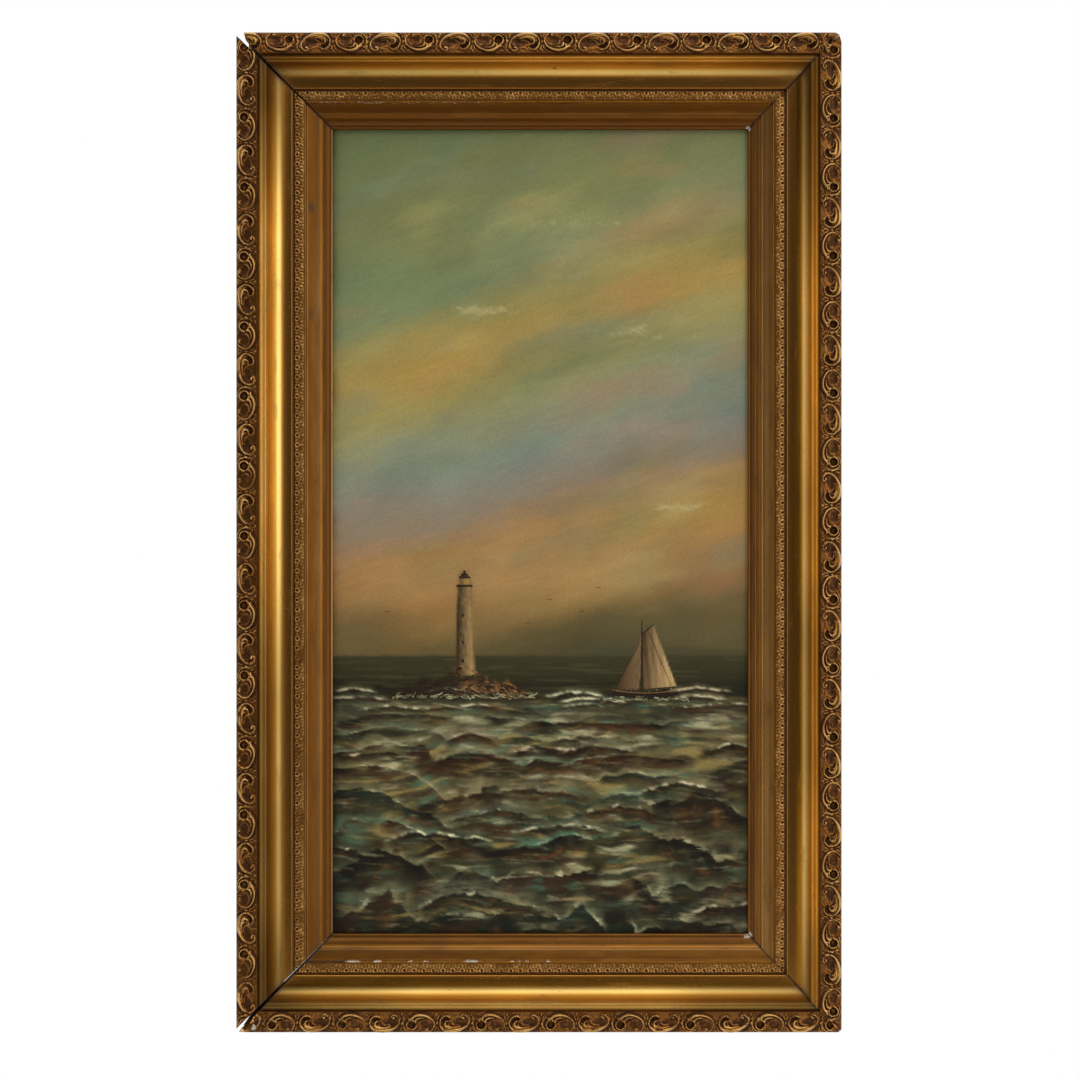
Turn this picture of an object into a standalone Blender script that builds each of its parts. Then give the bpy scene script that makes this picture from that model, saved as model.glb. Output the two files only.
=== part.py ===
# A tall gilt picture frame with its canvas, stretcher and hanging eyes
#
# The frame hangs. The origin is the middle of the back face of the top rail, which lies on the wall.
# X runs to the right as one looks at the picture, Z up, and the picture faces -Y.
#
# Each rail is made in its own frame: X along the rail, clockwise round the picture, Z outward and Y
# toward the wall. A place on it is (along, inset, height): along is measured from the rail's middle,
# inset from the outer edge toward the picture, and height from the wall to the front.

import math

import bmesh
import bpy
from mathutils import Matrix, Vector
from mathutils.geometry import delaunay_2d_cdt

MM = 0.001
TOUCH_GAP = 0.3 * MM

# Frame
FRAME_WIDTH = 575 * MM
FRAME_HEIGHT = 950 * MM
FILLET_HEIGHT = 53.5 * MM
BACK_FOOT_WIDTH = 30 * MM
BACK_STEP = 13 * MM
SIDE_UNDERCUT = 3 * MM
SIDE_LIP_HEIGHT = 36 * MM

# Scroll ornament
BAND_WIDTH = 20.9 * MM
BAND_SEAT_HEIGHT = 48.6 * MM
BAND_SEAT_FALL = 3.4 * MM
BAND_EDGE_THICKNESS = 1.6 * MM
BAND_GROUND_THICKNESS = 2.9 * MM
BAND_OUTER_MARGIN = 1.1 * MM
BAND_INNER_MARGIN = 2.7 * MM
TOP_PITCH = 33.0 * MM
RIGHT_PITCH = 32.6 * MM
BOTTOM_PITCH = 33.1 * MM
LEFT_PITCH = 33.1 * MM
SCROLL_PITCH = {"top": TOP_PITCH, "right": RIGHT_PITCH, "bottom": BOTTOM_PITCH, "left": LEFT_PITCH}
SCROLL_HALF_LENGTH = 13.8 * MM
SCROLL_RIDGE = 3.3 * MM
SCROLL_RIDGE_WIDTH = 2.2 * MM
SCROLL_LEAF_WIDTH = 6.4 * MM
SCROLL_POOL = 0.7 * MM
SCROLL_EYE_DEPTH = 1.9 * MM
SCROLL_EYE_PLACE = 0.55
SCROLL_VOLUTE_CURL = 2.6 * MM
SCROLL_HOOK_CURL = 0.4 * MM
# Angles round the scroll's oval, in degrees, from its leading end: the crest with its volute and hook,
# the foot outside it and the foot inside it; and the crest's height at each, as a share of the ridge.
VOLUTE_TURN = 212
HOOK_TURN = -62
LEAF_TURN = 40
CREST_TURNS = (194, 152, 110, 68, 24, -20)
CREST_RISES = (0.75, 0.8, 0.95, 1.0, 1.0, 0.9, 0.75, 0.6)
OUTER_FOOT_TURNS = (218, 174, 130, 90, 48, 4, -40, -74)
HOOK_FOOT_TURNS = (-16, 18)
BACK_FOOT_TURNS = (104, 140, 172)
FOOT_SHARE = 0.48
# Where each side's first scroll has its eye, from the rail's leading end
TOP_EYE = 50.8 * MM
RIGHT_EYE = 82.1 * MM
BOTTOM_EYE = 77.3 * MM
LEFT_EYE = 74.6 * MM
FIRST_EYE = {"top": TOP_EYE, "right": RIGHT_EYE, "bottom": BOTTOM_EYE, "left": LEFT_EYE}

# Fillets and cove. A step's sloping side takes this share of its width.
STEP_SLOPE = 0.2
SHADOW_GROOVE = 2.3 * MM
OUTER_FILLET_WIDTH = 2.2 * MM
FILLET_DIP_WIDTH = 2.0 * MM
FILLET_DIP_DEPTH = 1.0 * MM
INNER_FILLET_WIDTH = 1.6 * MM
INNER_FILLET_DROP = 0.7 * MM
COVE_LIP_DROP = 2.8 * MM
COVE_WIDTH = 20.8 * MM
COVE_DEPTH = 13.7 * MM
COVE_STEPS = 9

# Leaf-tip ornament
COVE_BEAD_WIDTH = 1.3 * MM
COVE_BEAD_RISE = 1.0 * MM
LEAF_SEAT_DROP = 2.0 * MM
LEAF_GROOVE = 1.5 * MM
LEAF_BAND_WIDTH = 10.2 * MM
LEAF_GROUND_THICKNESS = 1.3 * MM
LEAF_PITCH = 9.2 * MM
LEAF_RISE = 1.6 * MM
LEAF_ROWS = {"notch": 0.12, "bead": 0.27, "tip": 0.88}
LEAF_TIP_SHARE = 0.75
LEAF_LIP_GAP = 0.3 * MM
LEAF_LIP_WIDTH = 0.8 * MM
LEAF_LIP_RISE = 2.2 * MM

# Joint between the outer moulding and the sight moulding
REBATE_WIDTH = 3.8 * MM
REBATE_LIP = 2.8 * MM

# Sight moulding
SIGHT_START_DROP = 1.6 * MM
SIGHT_FLAT_WIDTH = 9.6 * MM
SIGHT_FLAT_FALL = 3.0 * MM
SIGHT_FILLET_WIDTH = 1.0 * MM
SIGHT_FILLET_RISE = 0.6 * MM
SIGHT_FILLET_STEP = 1.7 * MM
SIGHT_HOLLOW_WIDTH = 5.3 * MM
SIGHT_HOLLOW_FALL = 2.4 * MM
INNER_BEAD_WIDTH = 1.0 * MM
INNER_BEAD_RISE = 0.8 * MM
INNER_BEAD_STEP = 1.5 * MM
INNER_HOLLOW_WIDTH = 4.4 * MM
INNER_HOLLOW_FALL = 2.4 * MM
SIGHT_LIP_WIDTH = 1.8 * MM
SIGHT_LIP_RISE = 0.7 * MM
FLAT_SAG = 0.3 * MM
HOLLOW_SAG = 0.6 * MM
HOLLOW_STEPS = 3

# Canvas and stretcher
SIGHT_OVERLAP = 6.0 * MM
CANVAS_PLAY = 1.5 * MM
SIGHT_LIP_THICKNESS = 3.6 * MM
CANVAS_THICKNESS = 0.8 * MM
STRETCHER_THICKNESS = 15 * MM
STRETCHER_WIDTH = 42 * MM
STRETCHER_BEVEL = 3.0 * MM
STRETCHER_LEDGE = 12.6 * MM
CANVAS_TURNOVER_SHORT = 1.0 * MM
STRETCHER_MITRE_GAP = 0.3 * MM

# Screw eyes
EYE_DROP = 285 * MM
EYE_INSET = 45 * MM
EYE_WIRE = 1.9 * MM
EYE_RING = 10.6 * MM
EYE_SHANK = 9 * MM
EYE_CLOSING = 338
EYE_SIDES = 12
EYE_STAND = 0.7 * MM
EYE_HOLE_CLEARANCE = 0.3 * MM

# Mitres. How far a rail's end stands back from the true mitre, measured along the rail: at the front of
# its outer edge, at the sight, and at the wall. A rail that laps past the mitre there has a negative one.
HELD_GAP = 0.4 * MM
HELD_WALL_GAP = 0.6 * MM
BAND_GAP = 0.2 * MM
LEFT_RAIL_TOP_GAP = 3.0 * MM
LEFT_RAIL_TOP_SIGHT_GAP = 0.3 * MM
LEFT_RAIL_TOP_WALL_GAP = 3.6 * MM
TOP_RAIL_LEFT_GAP = 1.4 * MM
TOP_RAIL_LEFT_SIGHT_GAP = 2.45 * MM
TOP_RAIL_LEFT_WALL_GAP = -2.6 * MM
BOTTOM_RAIL_LEFT_GAP = 1.0 * MM
BOTTOM_RAIL_LEFT_SIGHT_GAP = 0.85 * MM
BOTTOM_RAIL_LEFT_WALL_GAP = 0.7 * MM
LEFT_RAIL_BOTTOM_GAP = 3.9 * MM
LEFT_RAIL_BOTTOM_SIGHT_GAP = 2.55 * MM
LEFT_RAIL_BOTTOM_WALL_GAP = 0.3 * MM

# For each corner: the gaps (outer, sight, wall) of the rail that ends there and of the rail that starts
# there, and the scroll ornament's own gap where it still bridges the corner.
HELD_GAPS = (HELD_GAP, HELD_GAP, HELD_WALL_GAP)
HELD = {"end": HELD_GAPS, "start": HELD_GAPS, "band": BAND_GAP}
MITRES = {
    "upper_left": {"end": (LEFT_RAIL_TOP_GAP, LEFT_RAIL_TOP_SIGHT_GAP, LEFT_RAIL_TOP_WALL_GAP),
                   "start": (TOP_RAIL_LEFT_GAP, TOP_RAIL_LEFT_SIGHT_GAP, TOP_RAIL_LEFT_WALL_GAP)},
    "upper_right": HELD,
    "lower_right": HELD,
    "lower_left": {"end": (BOTTOM_RAIL_LEFT_GAP, BOTTOM_RAIL_LEFT_SIGHT_GAP, BOTTOM_RAIL_LEFT_WALL_GAP),
                   "start": (LEFT_RAIL_BOTTOM_GAP, LEFT_RAIL_BOTTOM_SIGHT_GAP, LEFT_RAIL_BOTTOM_WALL_GAP)},
}

# Worn and broken tips of the rails: two places, each (distance from the rail's end, inset), that the
# broken face runs through.
ROUND_TIP = ((3.0 * MM, 0), (1.5 * MM, 1.5 * MM))
UPPER_RIGHT_TIPS = ((5.7 * MM, 0), (2.4 * MM, 2.4 * MM)), ((9.0 * MM, 0), (2.4 * MM, 2.4 * MM))
TOP_RAIL_BREAK = ((7.5 * MM, 0), (9.9 * MM, 9.2 * MM))
BOTTOM_RAIL_BREAK = ((17.0 * MM, 0), (3.8 * MM, 2.4 * MM))
WORN_TIPS = {
    ("top", "start"): TOP_RAIL_BREAK,
    ("top", "end"): UPPER_RIGHT_TIPS[0],
    ("right", "start"): UPPER_RIGHT_TIPS[1],
    ("right", "end"): ROUND_TIP,
    ("bottom", "start"): ROUND_TIP,
    ("bottom", "end"): BOTTOM_RAIL_BREAK,
}

# Insets from the outer edge, front to back of the same section
FILLET_START = BAND_WIDTH + SHADOW_GROOVE
COVE_START = FILLET_START + OUTER_FILLET_WIDTH + FILLET_DIP_WIDTH + INNER_FILLET_WIDTH
COVE_END = COVE_START + COVE_WIDTH
LEAF_START = COVE_END + COVE_BEAD_WIDTH + LEAF_GROOVE
LEAF_END = LEAF_START + LEAF_BAND_WIDTH
MOULDING_WIDTH = LEAF_END + LEAF_LIP_GAP + LEAF_LIP_WIDTH
SIGHT_START = MOULDING_WIDTH + TOUCH_GAP
SIGHT_INSET = (SIGHT_START + SIGHT_FLAT_WIDTH + SIGHT_FILLET_WIDTH + SIGHT_HOLLOW_WIDTH
               + INNER_BEAD_WIDTH + INNER_HOLLOW_WIDTH + SIGHT_LIP_WIDTH)

# Heights from the wall
COVE_TOP_HEIGHT = FILLET_HEIGHT - INNER_FILLET_DROP - COVE_LIP_DROP
COVE_FLOOR_HEIGHT = COVE_TOP_HEIGHT - COVE_DEPTH
LEAF_SEAT_HEIGHT = COVE_FLOOR_HEIGHT - LEAF_SEAT_DROP
LEAF_LIP_HEIGHT = LEAF_SEAT_HEIGHT + LEAF_LIP_RISE
REBATE_HEIGHT = LEAF_SEAT_HEIGHT - REBATE_LIP
SIGHT_START_HEIGHT = LEAF_LIP_HEIGHT - SIGHT_START_DROP

CANVAS_INSET = SIGHT_INSET - SIGHT_OVERLAP
RABBET_INSET = CANVAS_INSET - CANVAS_PLAY
TOP_Z = SIDE_UNDERCUT + BACK_FOOT_WIDTH / 2
CENTRE_Z = TOP_Z - FRAME_HEIGHT / 2

CLOCKWISE = ("top", "right", "bottom", "left")
CORNERS = ("upper_left", "upper_right", "lower_right", "lower_left")


def clear_scene():
    for obj in list(bpy.data.objects):
        bpy.data.objects.remove(obj, do_unlink=True)


def new_collection(name):
    collection = bpy.data.collections.new(name)
    bpy.context.scene.collection.children.link(collection)
    return collection


def finish(name, colour, roughness, metallic):
    material = bpy.data.materials.new(name)
    material.use_nodes = True
    shader = material.node_tree.nodes["Principled BSDF"]
    shader.inputs["Base Color"].default_value = (*colour, 1)
    shader.inputs["Roughness"].default_value = roughness
    shader.inputs["Metallic"].default_value = metallic
    return material


def rail_size(side):
    """(length, distance of the outer edge from the picture's centre) of a rail."""
    if side in ("top", "bottom"):
        return FRAME_WIDTH, FRAME_HEIGHT / 2
    return FRAME_HEIGHT, FRAME_WIDTH / 2


def rail_point(side, along, inset, height):
    return Vector((along, -height, rail_size(side)[1] - inset))


def place_on_side(obj, side):
    """Turns a piece made in a rail's own frame to its side of the picture."""
    obj.location = (0, 0, CENTRE_Z)
    obj.rotation_euler = (0, CLOCKWISE.index(side) * math.pi / 2, 0)


def object_from(bm, name, material, collection, smooth_angle=None):
    bmesh.ops.recalc_face_normals(bm, faces=bm.faces)
    mesh = bpy.data.meshes.new(name)
    bm.to_mesh(mesh)
    bm.free()
    mesh.materials.append(material)
    if smooth_angle:
        mesh.shade_smooth()
        mesh.set_sharp_from_angle(angle=smooth_angle)
    obj = bpy.data.objects.new(name, mesh)
    collection.objects.link(obj)
    return obj


def bmesh_from_curve(curve_obj):
    """The mesh of a curve object, in world space and with its caps welded. The curve is removed."""
    bpy.context.view_layer.update()
    graph = bpy.context.evaluated_depsgraph_get()
    mesh = bpy.data.meshes.new_from_object(curve_obj.evaluated_get(graph))
    mesh.transform(curve_obj.matrix_world)
    bm = bmesh.new()
    bm.from_mesh(mesh)
    bmesh.ops.remove_doubles(bm, verts=bm.verts, dist=0.00001)
    bpy.data.objects.remove(curve_obj, do_unlink=True)
    bpy.data.meshes.remove(mesh)
    return bm


def extruded_section(side, points):
    """A section of (inset, height) points run along the whole rail, ends square."""
    length, reach = rail_size(side)
    curve = bpy.data.curves.new("section", "CURVE")
    curve.dimensions = "2D"
    curve.fill_mode = "BOTH"
    curve.extrude = length / 2
    spline = curve.splines.new("POLY")
    spline.points.add(len(points) - 1)
    for point, (inset, height) in zip(spline.points, points):
        point.co = (inset, height, 0, 1)
    spline.use_cyclic_u = True
    curve_obj = bpy.data.objects.new("section", curve)
    curve_obj.matrix_world = Matrix(((0, 0, -1, 0), (0, -1, 0, 0), (-1, 0, 0, reach), (0, 0, 0, 1)))
    bpy.context.scene.collection.objects.link(curve_obj)
    return bmesh_from_curve(curve_obj)


def cut_off(bm, point, normal):
    """Removes what lies on the normal's side of a plane, and closes the cut."""
    geometry = list(bm.verts) + list(bm.edges) + list(bm.faces)
    cut = bmesh.ops.bisect_plane(bm, geom=geometry, dist=1e-7, plane_co=point, plane_no=normal,
                                 clear_outer=True)
    edges = [item for item in cut["geom_cut"] if isinstance(item, bmesh.types.BMEdge)]
    bmesh.ops.holes_fill(bm, edges=edges)


def cut_plane(side, places):
    """A point and the outward normal of the plane through three (along, inset, height) places."""
    first, second, third = (rail_point(side, *place) for place in places)
    normal = (second - first).cross(third - first).normalized()
    if normal.x * places[0][0] < 0:
        normal.negate()
    return first, normal


def cut_mitres(bm, side, for_band=False):
    """Cuts both ends of a piece to their mitres, open or closed as each corner is."""
    half = rail_size(side)[0] / 2
    start_corner = MITRES[CORNERS[CLOCKWISE.index(side)]]
    end_corner = MITRES[CORNERS[(CLOCKWISE.index(side) + 1) % 4]]
    for corner, role, sign in ((start_corner, "start", -1), (end_corner, "end", 1)):
        outer, inner, wall = corner[role]
        if for_band and "band" in corner:
            outer = inner = wall = corner["band"]
        places = (
            (sign * (half - outer), 0, FILLET_HEIGHT),
            (sign * (half - SIGHT_INSET - inner), SIGHT_INSET, FILLET_HEIGHT),
            (sign * (half - wall), 0, 0),
        )
        cut_off(bm, *cut_plane(side, places))


def wear_tips(bm, side):
    """Takes off the outer tips that are worn round or broken."""
    half = rail_size(side)[0] / 2
    for role, sign in (("start", -1), ("end", 1)):
        if (side, role) not in WORN_TIPS:
            continue
        (near, near_inset), (far, far_inset) = WORN_TIPS[side, role]
        places = (
            (sign * (half - near), near_inset, 0),
            (sign * (half - far), far_inset, 0),
            (sign * (half - near), near_inset, FILLET_HEIGHT),
        )
        cut_off(bm, *cut_plane(side, places))


def hollow(start, end, sag, steps):
    """Points of a shallow hollow between two (inset, height) places, ends included."""
    points = []
    for i in range(steps + 1):
        share = i / steps
        inset = start[0] + (end[0] - start[0]) * share
        height = start[1] + (end[1] - start[1]) * share - sag * 4 * share * (1 - share)
        points.append((inset, height))
    return points


def cove_points():
    """A quarter of an ellipse, steep at the fillet and flat at its foot."""
    points = []
    for i in range(COVE_STEPS + 1):
        turn = math.pi / 2 * i / COVE_STEPS
        inset = COVE_END - COVE_WIDTH * math.cos(turn)
        points.append((inset, COVE_TOP_HEIGHT - COVE_DEPTH * math.sin(turn)))
    return points


def moulding_section():
    seat_edge = BAND_SEAT_HEIGHT - BAND_SEAT_FALL
    dip = FILLET_START + OUTER_FILLET_WIDTH
    inner_fillet = dip + FILLET_DIP_WIDTH
    bead = COVE_END + STEP_SLOPE * COVE_BEAD_WIDTH
    lip = LEAF_END + LEAF_LIP_GAP
    points = [
        (SIDE_UNDERCUT, 0),
        (SIDE_UNDERCUT, SIDE_LIP_HEIGHT - SIDE_UNDERCUT),
        (0, SIDE_LIP_HEIGHT),
        (0, seat_edge),
        (BAND_WIDTH, BAND_SEAT_HEIGHT),
        (FILLET_START, BAND_SEAT_HEIGHT),
        (FILLET_START, FILLET_HEIGHT),
        (dip, FILLET_HEIGHT),
        (dip + STEP_SLOPE * FILLET_DIP_WIDTH, FILLET_HEIGHT - FILLET_DIP_DEPTH),
        (inner_fillet, FILLET_HEIGHT - FILLET_DIP_DEPTH),
        (inner_fillet + STEP_SLOPE * INNER_FILLET_WIDTH, FILLET_HEIGHT - INNER_FILLET_DROP),
        (COVE_START, FILLET_HEIGHT - INNER_FILLET_DROP),
    ]
    points += cove_points()
    points += [
        (bead, COVE_FLOOR_HEIGHT + COVE_BEAD_RISE),
        (COVE_END + COVE_BEAD_WIDTH, COVE_FLOOR_HEIGHT + COVE_BEAD_RISE),
        (COVE_END + COVE_BEAD_WIDTH, LEAF_SEAT_HEIGHT),
        (lip, LEAF_SEAT_HEIGHT),
        (lip, LEAF_LIP_HEIGHT),
        (MOULDING_WIDTH, LEAF_LIP_HEIGHT),
        (MOULDING_WIDTH, REBATE_HEIGHT),
        (MOULDING_WIDTH - REBATE_WIDTH, REBATE_HEIGHT),
        (MOULDING_WIDTH - REBATE_WIDTH, BACK_STEP),
        (BACK_FOOT_WIDTH + SIDE_UNDERCUT, BACK_STEP),
        (BACK_FOOT_WIDTH + SIDE_UNDERCUT, 0),
    ]
    return points


def sight_front():
    """The visible face of the sight moulding, from the joint to the sight edge."""
    flat_end = (SIGHT_START + SIGHT_FLAT_WIDTH, SIGHT_START_HEIGHT - SIGHT_FLAT_FALL)
    points = hollow((SIGHT_START, SIGHT_START_HEIGHT), flat_end, FLAT_SAG, HOLLOW_STEPS)
    inset, height = flat_end
    steps = (
        (SIGHT_FILLET_WIDTH, SIGHT_FILLET_RISE, SIGHT_FILLET_STEP, SIGHT_HOLLOW_WIDTH, SIGHT_HOLLOW_FALL),
        (INNER_BEAD_WIDTH, INNER_BEAD_RISE, INNER_BEAD_STEP, INNER_HOLLOW_WIDTH, INNER_HOLLOW_FALL),
    )
    for width, rise, step, hollow_width, fall in steps:
        height += rise
        points += [(inset, height), (inset + width, height)]
        inset += width
        height -= step
        low = (inset + hollow_width, height - fall)
        points += hollow((inset, height), low, HOLLOW_SAG, HOLLOW_STEPS)
        inset, height = low
    height += SIGHT_LIP_RISE
    points += [(inset, height), (inset + SIGHT_LIP_WIDTH, height)]
    return points


SIGHT_LIP_HEIGHT = sight_front()[-1][1]
CANVAS_HEIGHT = SIGHT_LIP_HEIGHT - SIGHT_LIP_THICKNESS - TOUCH_GAP


def sight_section():
    tongue_top = REBATE_HEIGHT - TOUCH_GAP
    tongue_inset = MOULDING_WIDTH - REBATE_WIDTH + TOUCH_GAP
    ledge = SIGHT_LIP_HEIGHT - SIGHT_LIP_THICKNESS
    points = [(tongue_inset, BACK_STEP), (tongue_inset, tongue_top), (SIGHT_START, tongue_top)]
    points += sight_front()
    points += [(SIGHT_INSET, ledge), (RABBET_INSET, ledge), (RABBET_INSET, BACK_STEP)]
    return points


def band_ground(inset):
    """Height of the scroll band's ground: a sloping outer margin, then a gently rising plane."""
    edge = BAND_SEAT_HEIGHT - BAND_SEAT_FALL + BAND_EDGE_THICKNESS
    margin = BAND_SEAT_HEIGHT - BAND_SEAT_FALL + BAND_GROUND_THICKNESS
    inner = BAND_SEAT_HEIGHT + BAND_GROUND_THICKNESS
    if inset < BAND_OUTER_MARGIN:
        return edge + (margin - edge) * inset / BAND_OUTER_MARGIN
    return margin + (inner - margin) * (inset - BAND_OUTER_MARGIN) / (BAND_WIDTH - BAND_OUTER_MARGIN)


class Relief:
    """Ornament raised on a strip: outline and crest points with heights, joined by lines."""

    def __init__(self, side, inset_start, inset_end, ground):
        self.half = rail_size(side)[0] / 2
        self.side = side
        self.insets = (inset_start, inset_end)
        self.ground = ground
        self.places = []
        self.heights = []
        self.lines = []

    def line(self, places, rises, closed=False):
        """Adds points at (along, inset), each raised over the ground, and the lines between them."""
        first = len(self.places)
        for (along, inset), rise in zip(places, rises):
            self.places.append(Vector((along, inset)))
            self.heights.append(self.ground(inset) + rise)
        count = len(places)
        self.lines += [(first + i, first + i + 1) for i in range(count - 1)]
        if closed:
            self.lines.append((first + count - 1, first))

    def solid(self, seat):
        """The strip as a closed body, whose underside follows seat(inset)."""
        outline = [(-self.half, self.insets[0]), (self.half, self.insets[0]),
                   (self.half, self.insets[1]), (-self.half, self.insets[1])]
        self.line(outline, [0] * 4, closed=True)
        flat, _, faces, origins, _, _ = delaunay_2d_cdt(self.places, self.lines, [], 0, 1e-6)
        bm = bmesh.new()
        for place, origin in zip(flat, origins):
            height = self.heights[origin[0]] if origin else self.ground(place.y)
            bm.verts.new(rail_point(self.side, place.x, place.y, height))
        bm.verts.ensure_lookup_table()
        for face in faces:
            bm.faces.new([bm.verts[i] for i in face])
        rim = [edge for edge in bm.edges if edge.is_boundary]
        made = bmesh.ops.extrude_edge_only(bm, edges=rim)["geom"]
        reach = rail_size(self.side)[1]
        for vert in made:
            if isinstance(vert, bmesh.types.BMVert):
                vert.co.y = -seat(reach - vert.co.z)
        bmesh.ops.holes_fill(bm, edges=[item for item in made if isinstance(item, bmesh.types.BMEdge)])
        return bm


def scroll_turn(turn, grow):
    """A point at an angle of the C-scroll's oval, grown by a width, as (along, outward)."""
    half_width = (BAND_WIDTH - BAND_OUTER_MARGIN - BAND_INNER_MARGIN - SCROLL_RIDGE_WIDTH) / 2
    half_length = SCROLL_HALF_LENGTH - SCROLL_RIDGE_WIDTH / 2
    angle = math.radians(turn)
    return (half_length + grow) * math.cos(angle), (half_width + grow) * math.sin(angle)


def add_scroll(relief, middle, faces_out):
    """One C-scroll: a ridge from its small volute round to a hook, with a leaf over a dark eye."""
    flip = 1 if faces_out else -1
    centre = (BAND_WIDTH + BAND_OUTER_MARGIN - BAND_INNER_MARGIN) / 2
    foot = FOOT_SHARE * SCROLL_RIDGE_WIDTH

    def line(points, rises, closed=False):
        places = [(middle + along, centre - flip * outward) for along, outward in points]
        relief.line(places, rises, closed)

    volute = scroll_turn(VOLUTE_TURN, -SCROLL_VOLUTE_CURL)
    hook = scroll_turn(HOOK_TURN, -SCROLL_HOOK_CURL)
    leaf_tip = scroll_turn(LEAF_TURN, -SCROLL_LEAF_WIDTH)
    crest = [volute] + [scroll_turn(turn, 0) for turn in CREST_TURNS] + [hook]
    line(crest, [SCROLL_RIDGE * rise for rise in CREST_RISES])
    outline = [scroll_turn(turn, foot) for turn in OUTER_FOOT_TURNS]
    hook_foot = scroll_turn(HOOK_TURN, -2.2 * foot)
    outline.append(hook_foot)
    outline += [scroll_turn(turn, -1.2 * foot) for turn in HOOK_FOOT_TURNS]
    outline.append(leaf_tip)
    outline += [scroll_turn(turn, -foot) for turn in BACK_FOOT_TURNS]
    outline.append(scroll_turn(VOLUTE_TURN, -SCROLL_VOLUTE_CURL - 1.7 * foot))
    line(outline, [0] * len(outline), closed=True)
    line([hook_foot, leaf_tip], [0, 0])
    line([((leaf_tip[0] + crest[-2][0]) / 2, 0.4 * hook[1])], [-SCROLL_EYE_DEPTH])
    line([(-0.4 * SCROLL_HALF_LENGTH, 0)], [-SCROLL_POOL])


def band_seat(inset):
    return BAND_SEAT_HEIGHT - BAND_SEAT_FALL * (1 - inset / BAND_WIDTH) + TOUCH_GAP


def scroll_band(side, material, collection):
    relief = Relief(side, 0, BAND_WIDTH, band_ground)
    length, pitch = rail_size(side)[0], SCROLL_PITCH[side]
    relief.line([(-length / 2, BAND_OUTER_MARGIN), (length / 2, BAND_OUTER_MARGIN)], [0, 0])
    first = FIRST_EYE[side] - SCROLL_EYE_PLACE * SCROLL_HALF_LENGTH
    lowest = math.ceil((SCROLL_HALF_LENGTH - first) / pitch)
    highest = math.floor((length - SCROLL_HALF_LENGTH - first) / pitch)
    for number in range(lowest, highest + 1):
        add_scroll(relief, first + number * pitch - length / 2, faces_out=number % 2 == 1)
    bm = relief.solid(band_seat)
    cut_mitres(bm, side, for_band=True)
    wear_tips(bm, side)
    obj = object_from(bm, f"scroll_band_{side}", material, collection)
    place_on_side(obj, side)
    return obj


def leaf_band(side, material, collection):
    """Small beads along the cove, each with a tongue toward the picture, and notches between."""
    ground = LEAF_SEAT_HEIGHT + LEAF_GROUND_THICKNESS
    relief = Relief(side, LEAF_START, LEAF_END, lambda inset: ground)
    half = rail_size(side)[0] / 2
    count = round((2 * half - LEAF_START - LEAF_END) / LEAF_PITCH)
    row = {name: LEAF_START + share * LEAF_BAND_WIDTH for name, share in LEAF_ROWS.items()}
    for number in range(count + 1):
        along = (number - count / 2) * LEAF_PITCH
        relief.line([(along, row["bead"]), (along, row["tip"])], [LEAF_RISE, LEAF_TIP_SHARE * LEAF_RISE])
        between = along + LEAF_PITCH / 2
        relief.line([(between, row["notch"]), (between, row["tip"])], [0, 0])
    bm = relief.solid(lambda inset: LEAF_SEAT_HEIGHT + TOUCH_GAP)
    cut_mitres(bm, side)
    obj = object_from(bm, f"leaf_band_{side}", material, collection)
    place_on_side(obj, side)
    return obj


def moulding_rail(side, section, name, material, collection):
    bm = extruded_section(side, section)
    cut_mitres(bm, side)
    wear_tips(bm, side)
    obj = object_from(bm, f"{name}_{side}", material, collection, math.radians(30))
    place_on_side(obj, side)
    return obj


def canvas(material, collection):
    """The cloth with its edges turned back: a box, open behind, with thin walls."""
    width = FRAME_WIDTH - 2 * CANVAS_INSET
    height = FRAME_HEIGHT - 2 * CANVAS_INSET
    depth = CANVAS_THICKNESS + TOUCH_GAP + STRETCHER_THICKNESS - CANVAS_TURNOVER_SHORT
    bm = bmesh.new()
    scale = Matrix.Diagonal((width, depth, height, 1))
    move = Matrix.Translation((0, -CANVAS_HEIGHT + depth / 2, CENTRE_Z))
    bmesh.ops.create_cube(bm, size=1, matrix=move @ scale)
    back = [face for face in bm.faces if face.normal.y > 0.5]
    bmesh.ops.delete(bm, geom=back, context="FACES_ONLY")
    obj = object_from(bm, "canvas", material, collection)
    shell = obj.modifiers.new("Thickness", "SOLIDIFY")
    shell.thickness = CANVAS_THICKNESS
    shell.offset = -1
    shell.use_even_offset = True
    return obj


def stretcher_bar(side, material, collection):
    """A bar whose front slopes away from the cloth toward the middle, mitred at its ends."""
    outer = CANVAS_INSET + CANVAS_THICKNESS + TOUCH_GAP
    front = CANVAS_HEIGHT - CANVAS_THICKNESS - TOUCH_GAP
    back = front - STRETCHER_THICKNESS
    section = [(outer, back), (outer, front), (outer + STRETCHER_LEDGE, front),
               (outer + STRETCHER_WIDTH, front - STRETCHER_BEVEL), (outer + STRETCHER_WIDTH, back)]
    bm = extruded_section(side, section)
    half = rail_size(side)[0] / 2
    for sign in (-1, 1):
        end = half - STRETCHER_MITRE_GAP
        places = ((sign * end, 0, 0), (sign * (end - SIGHT_INSET), SIGHT_INSET, 0), (sign * end, 0, front))
        cut_off(bm, *cut_plane(side, places))
    obj = object_from(bm, f"stretcher_{side}", material, collection)
    place_on_side(obj, side)
    return obj


def eye_places():
    reach = FRAME_WIDTH / 2 - EYE_INSET
    z = TOP_Z - EYE_DROP
    return {"left": (-reach, z), "right": (reach, z)}


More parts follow.
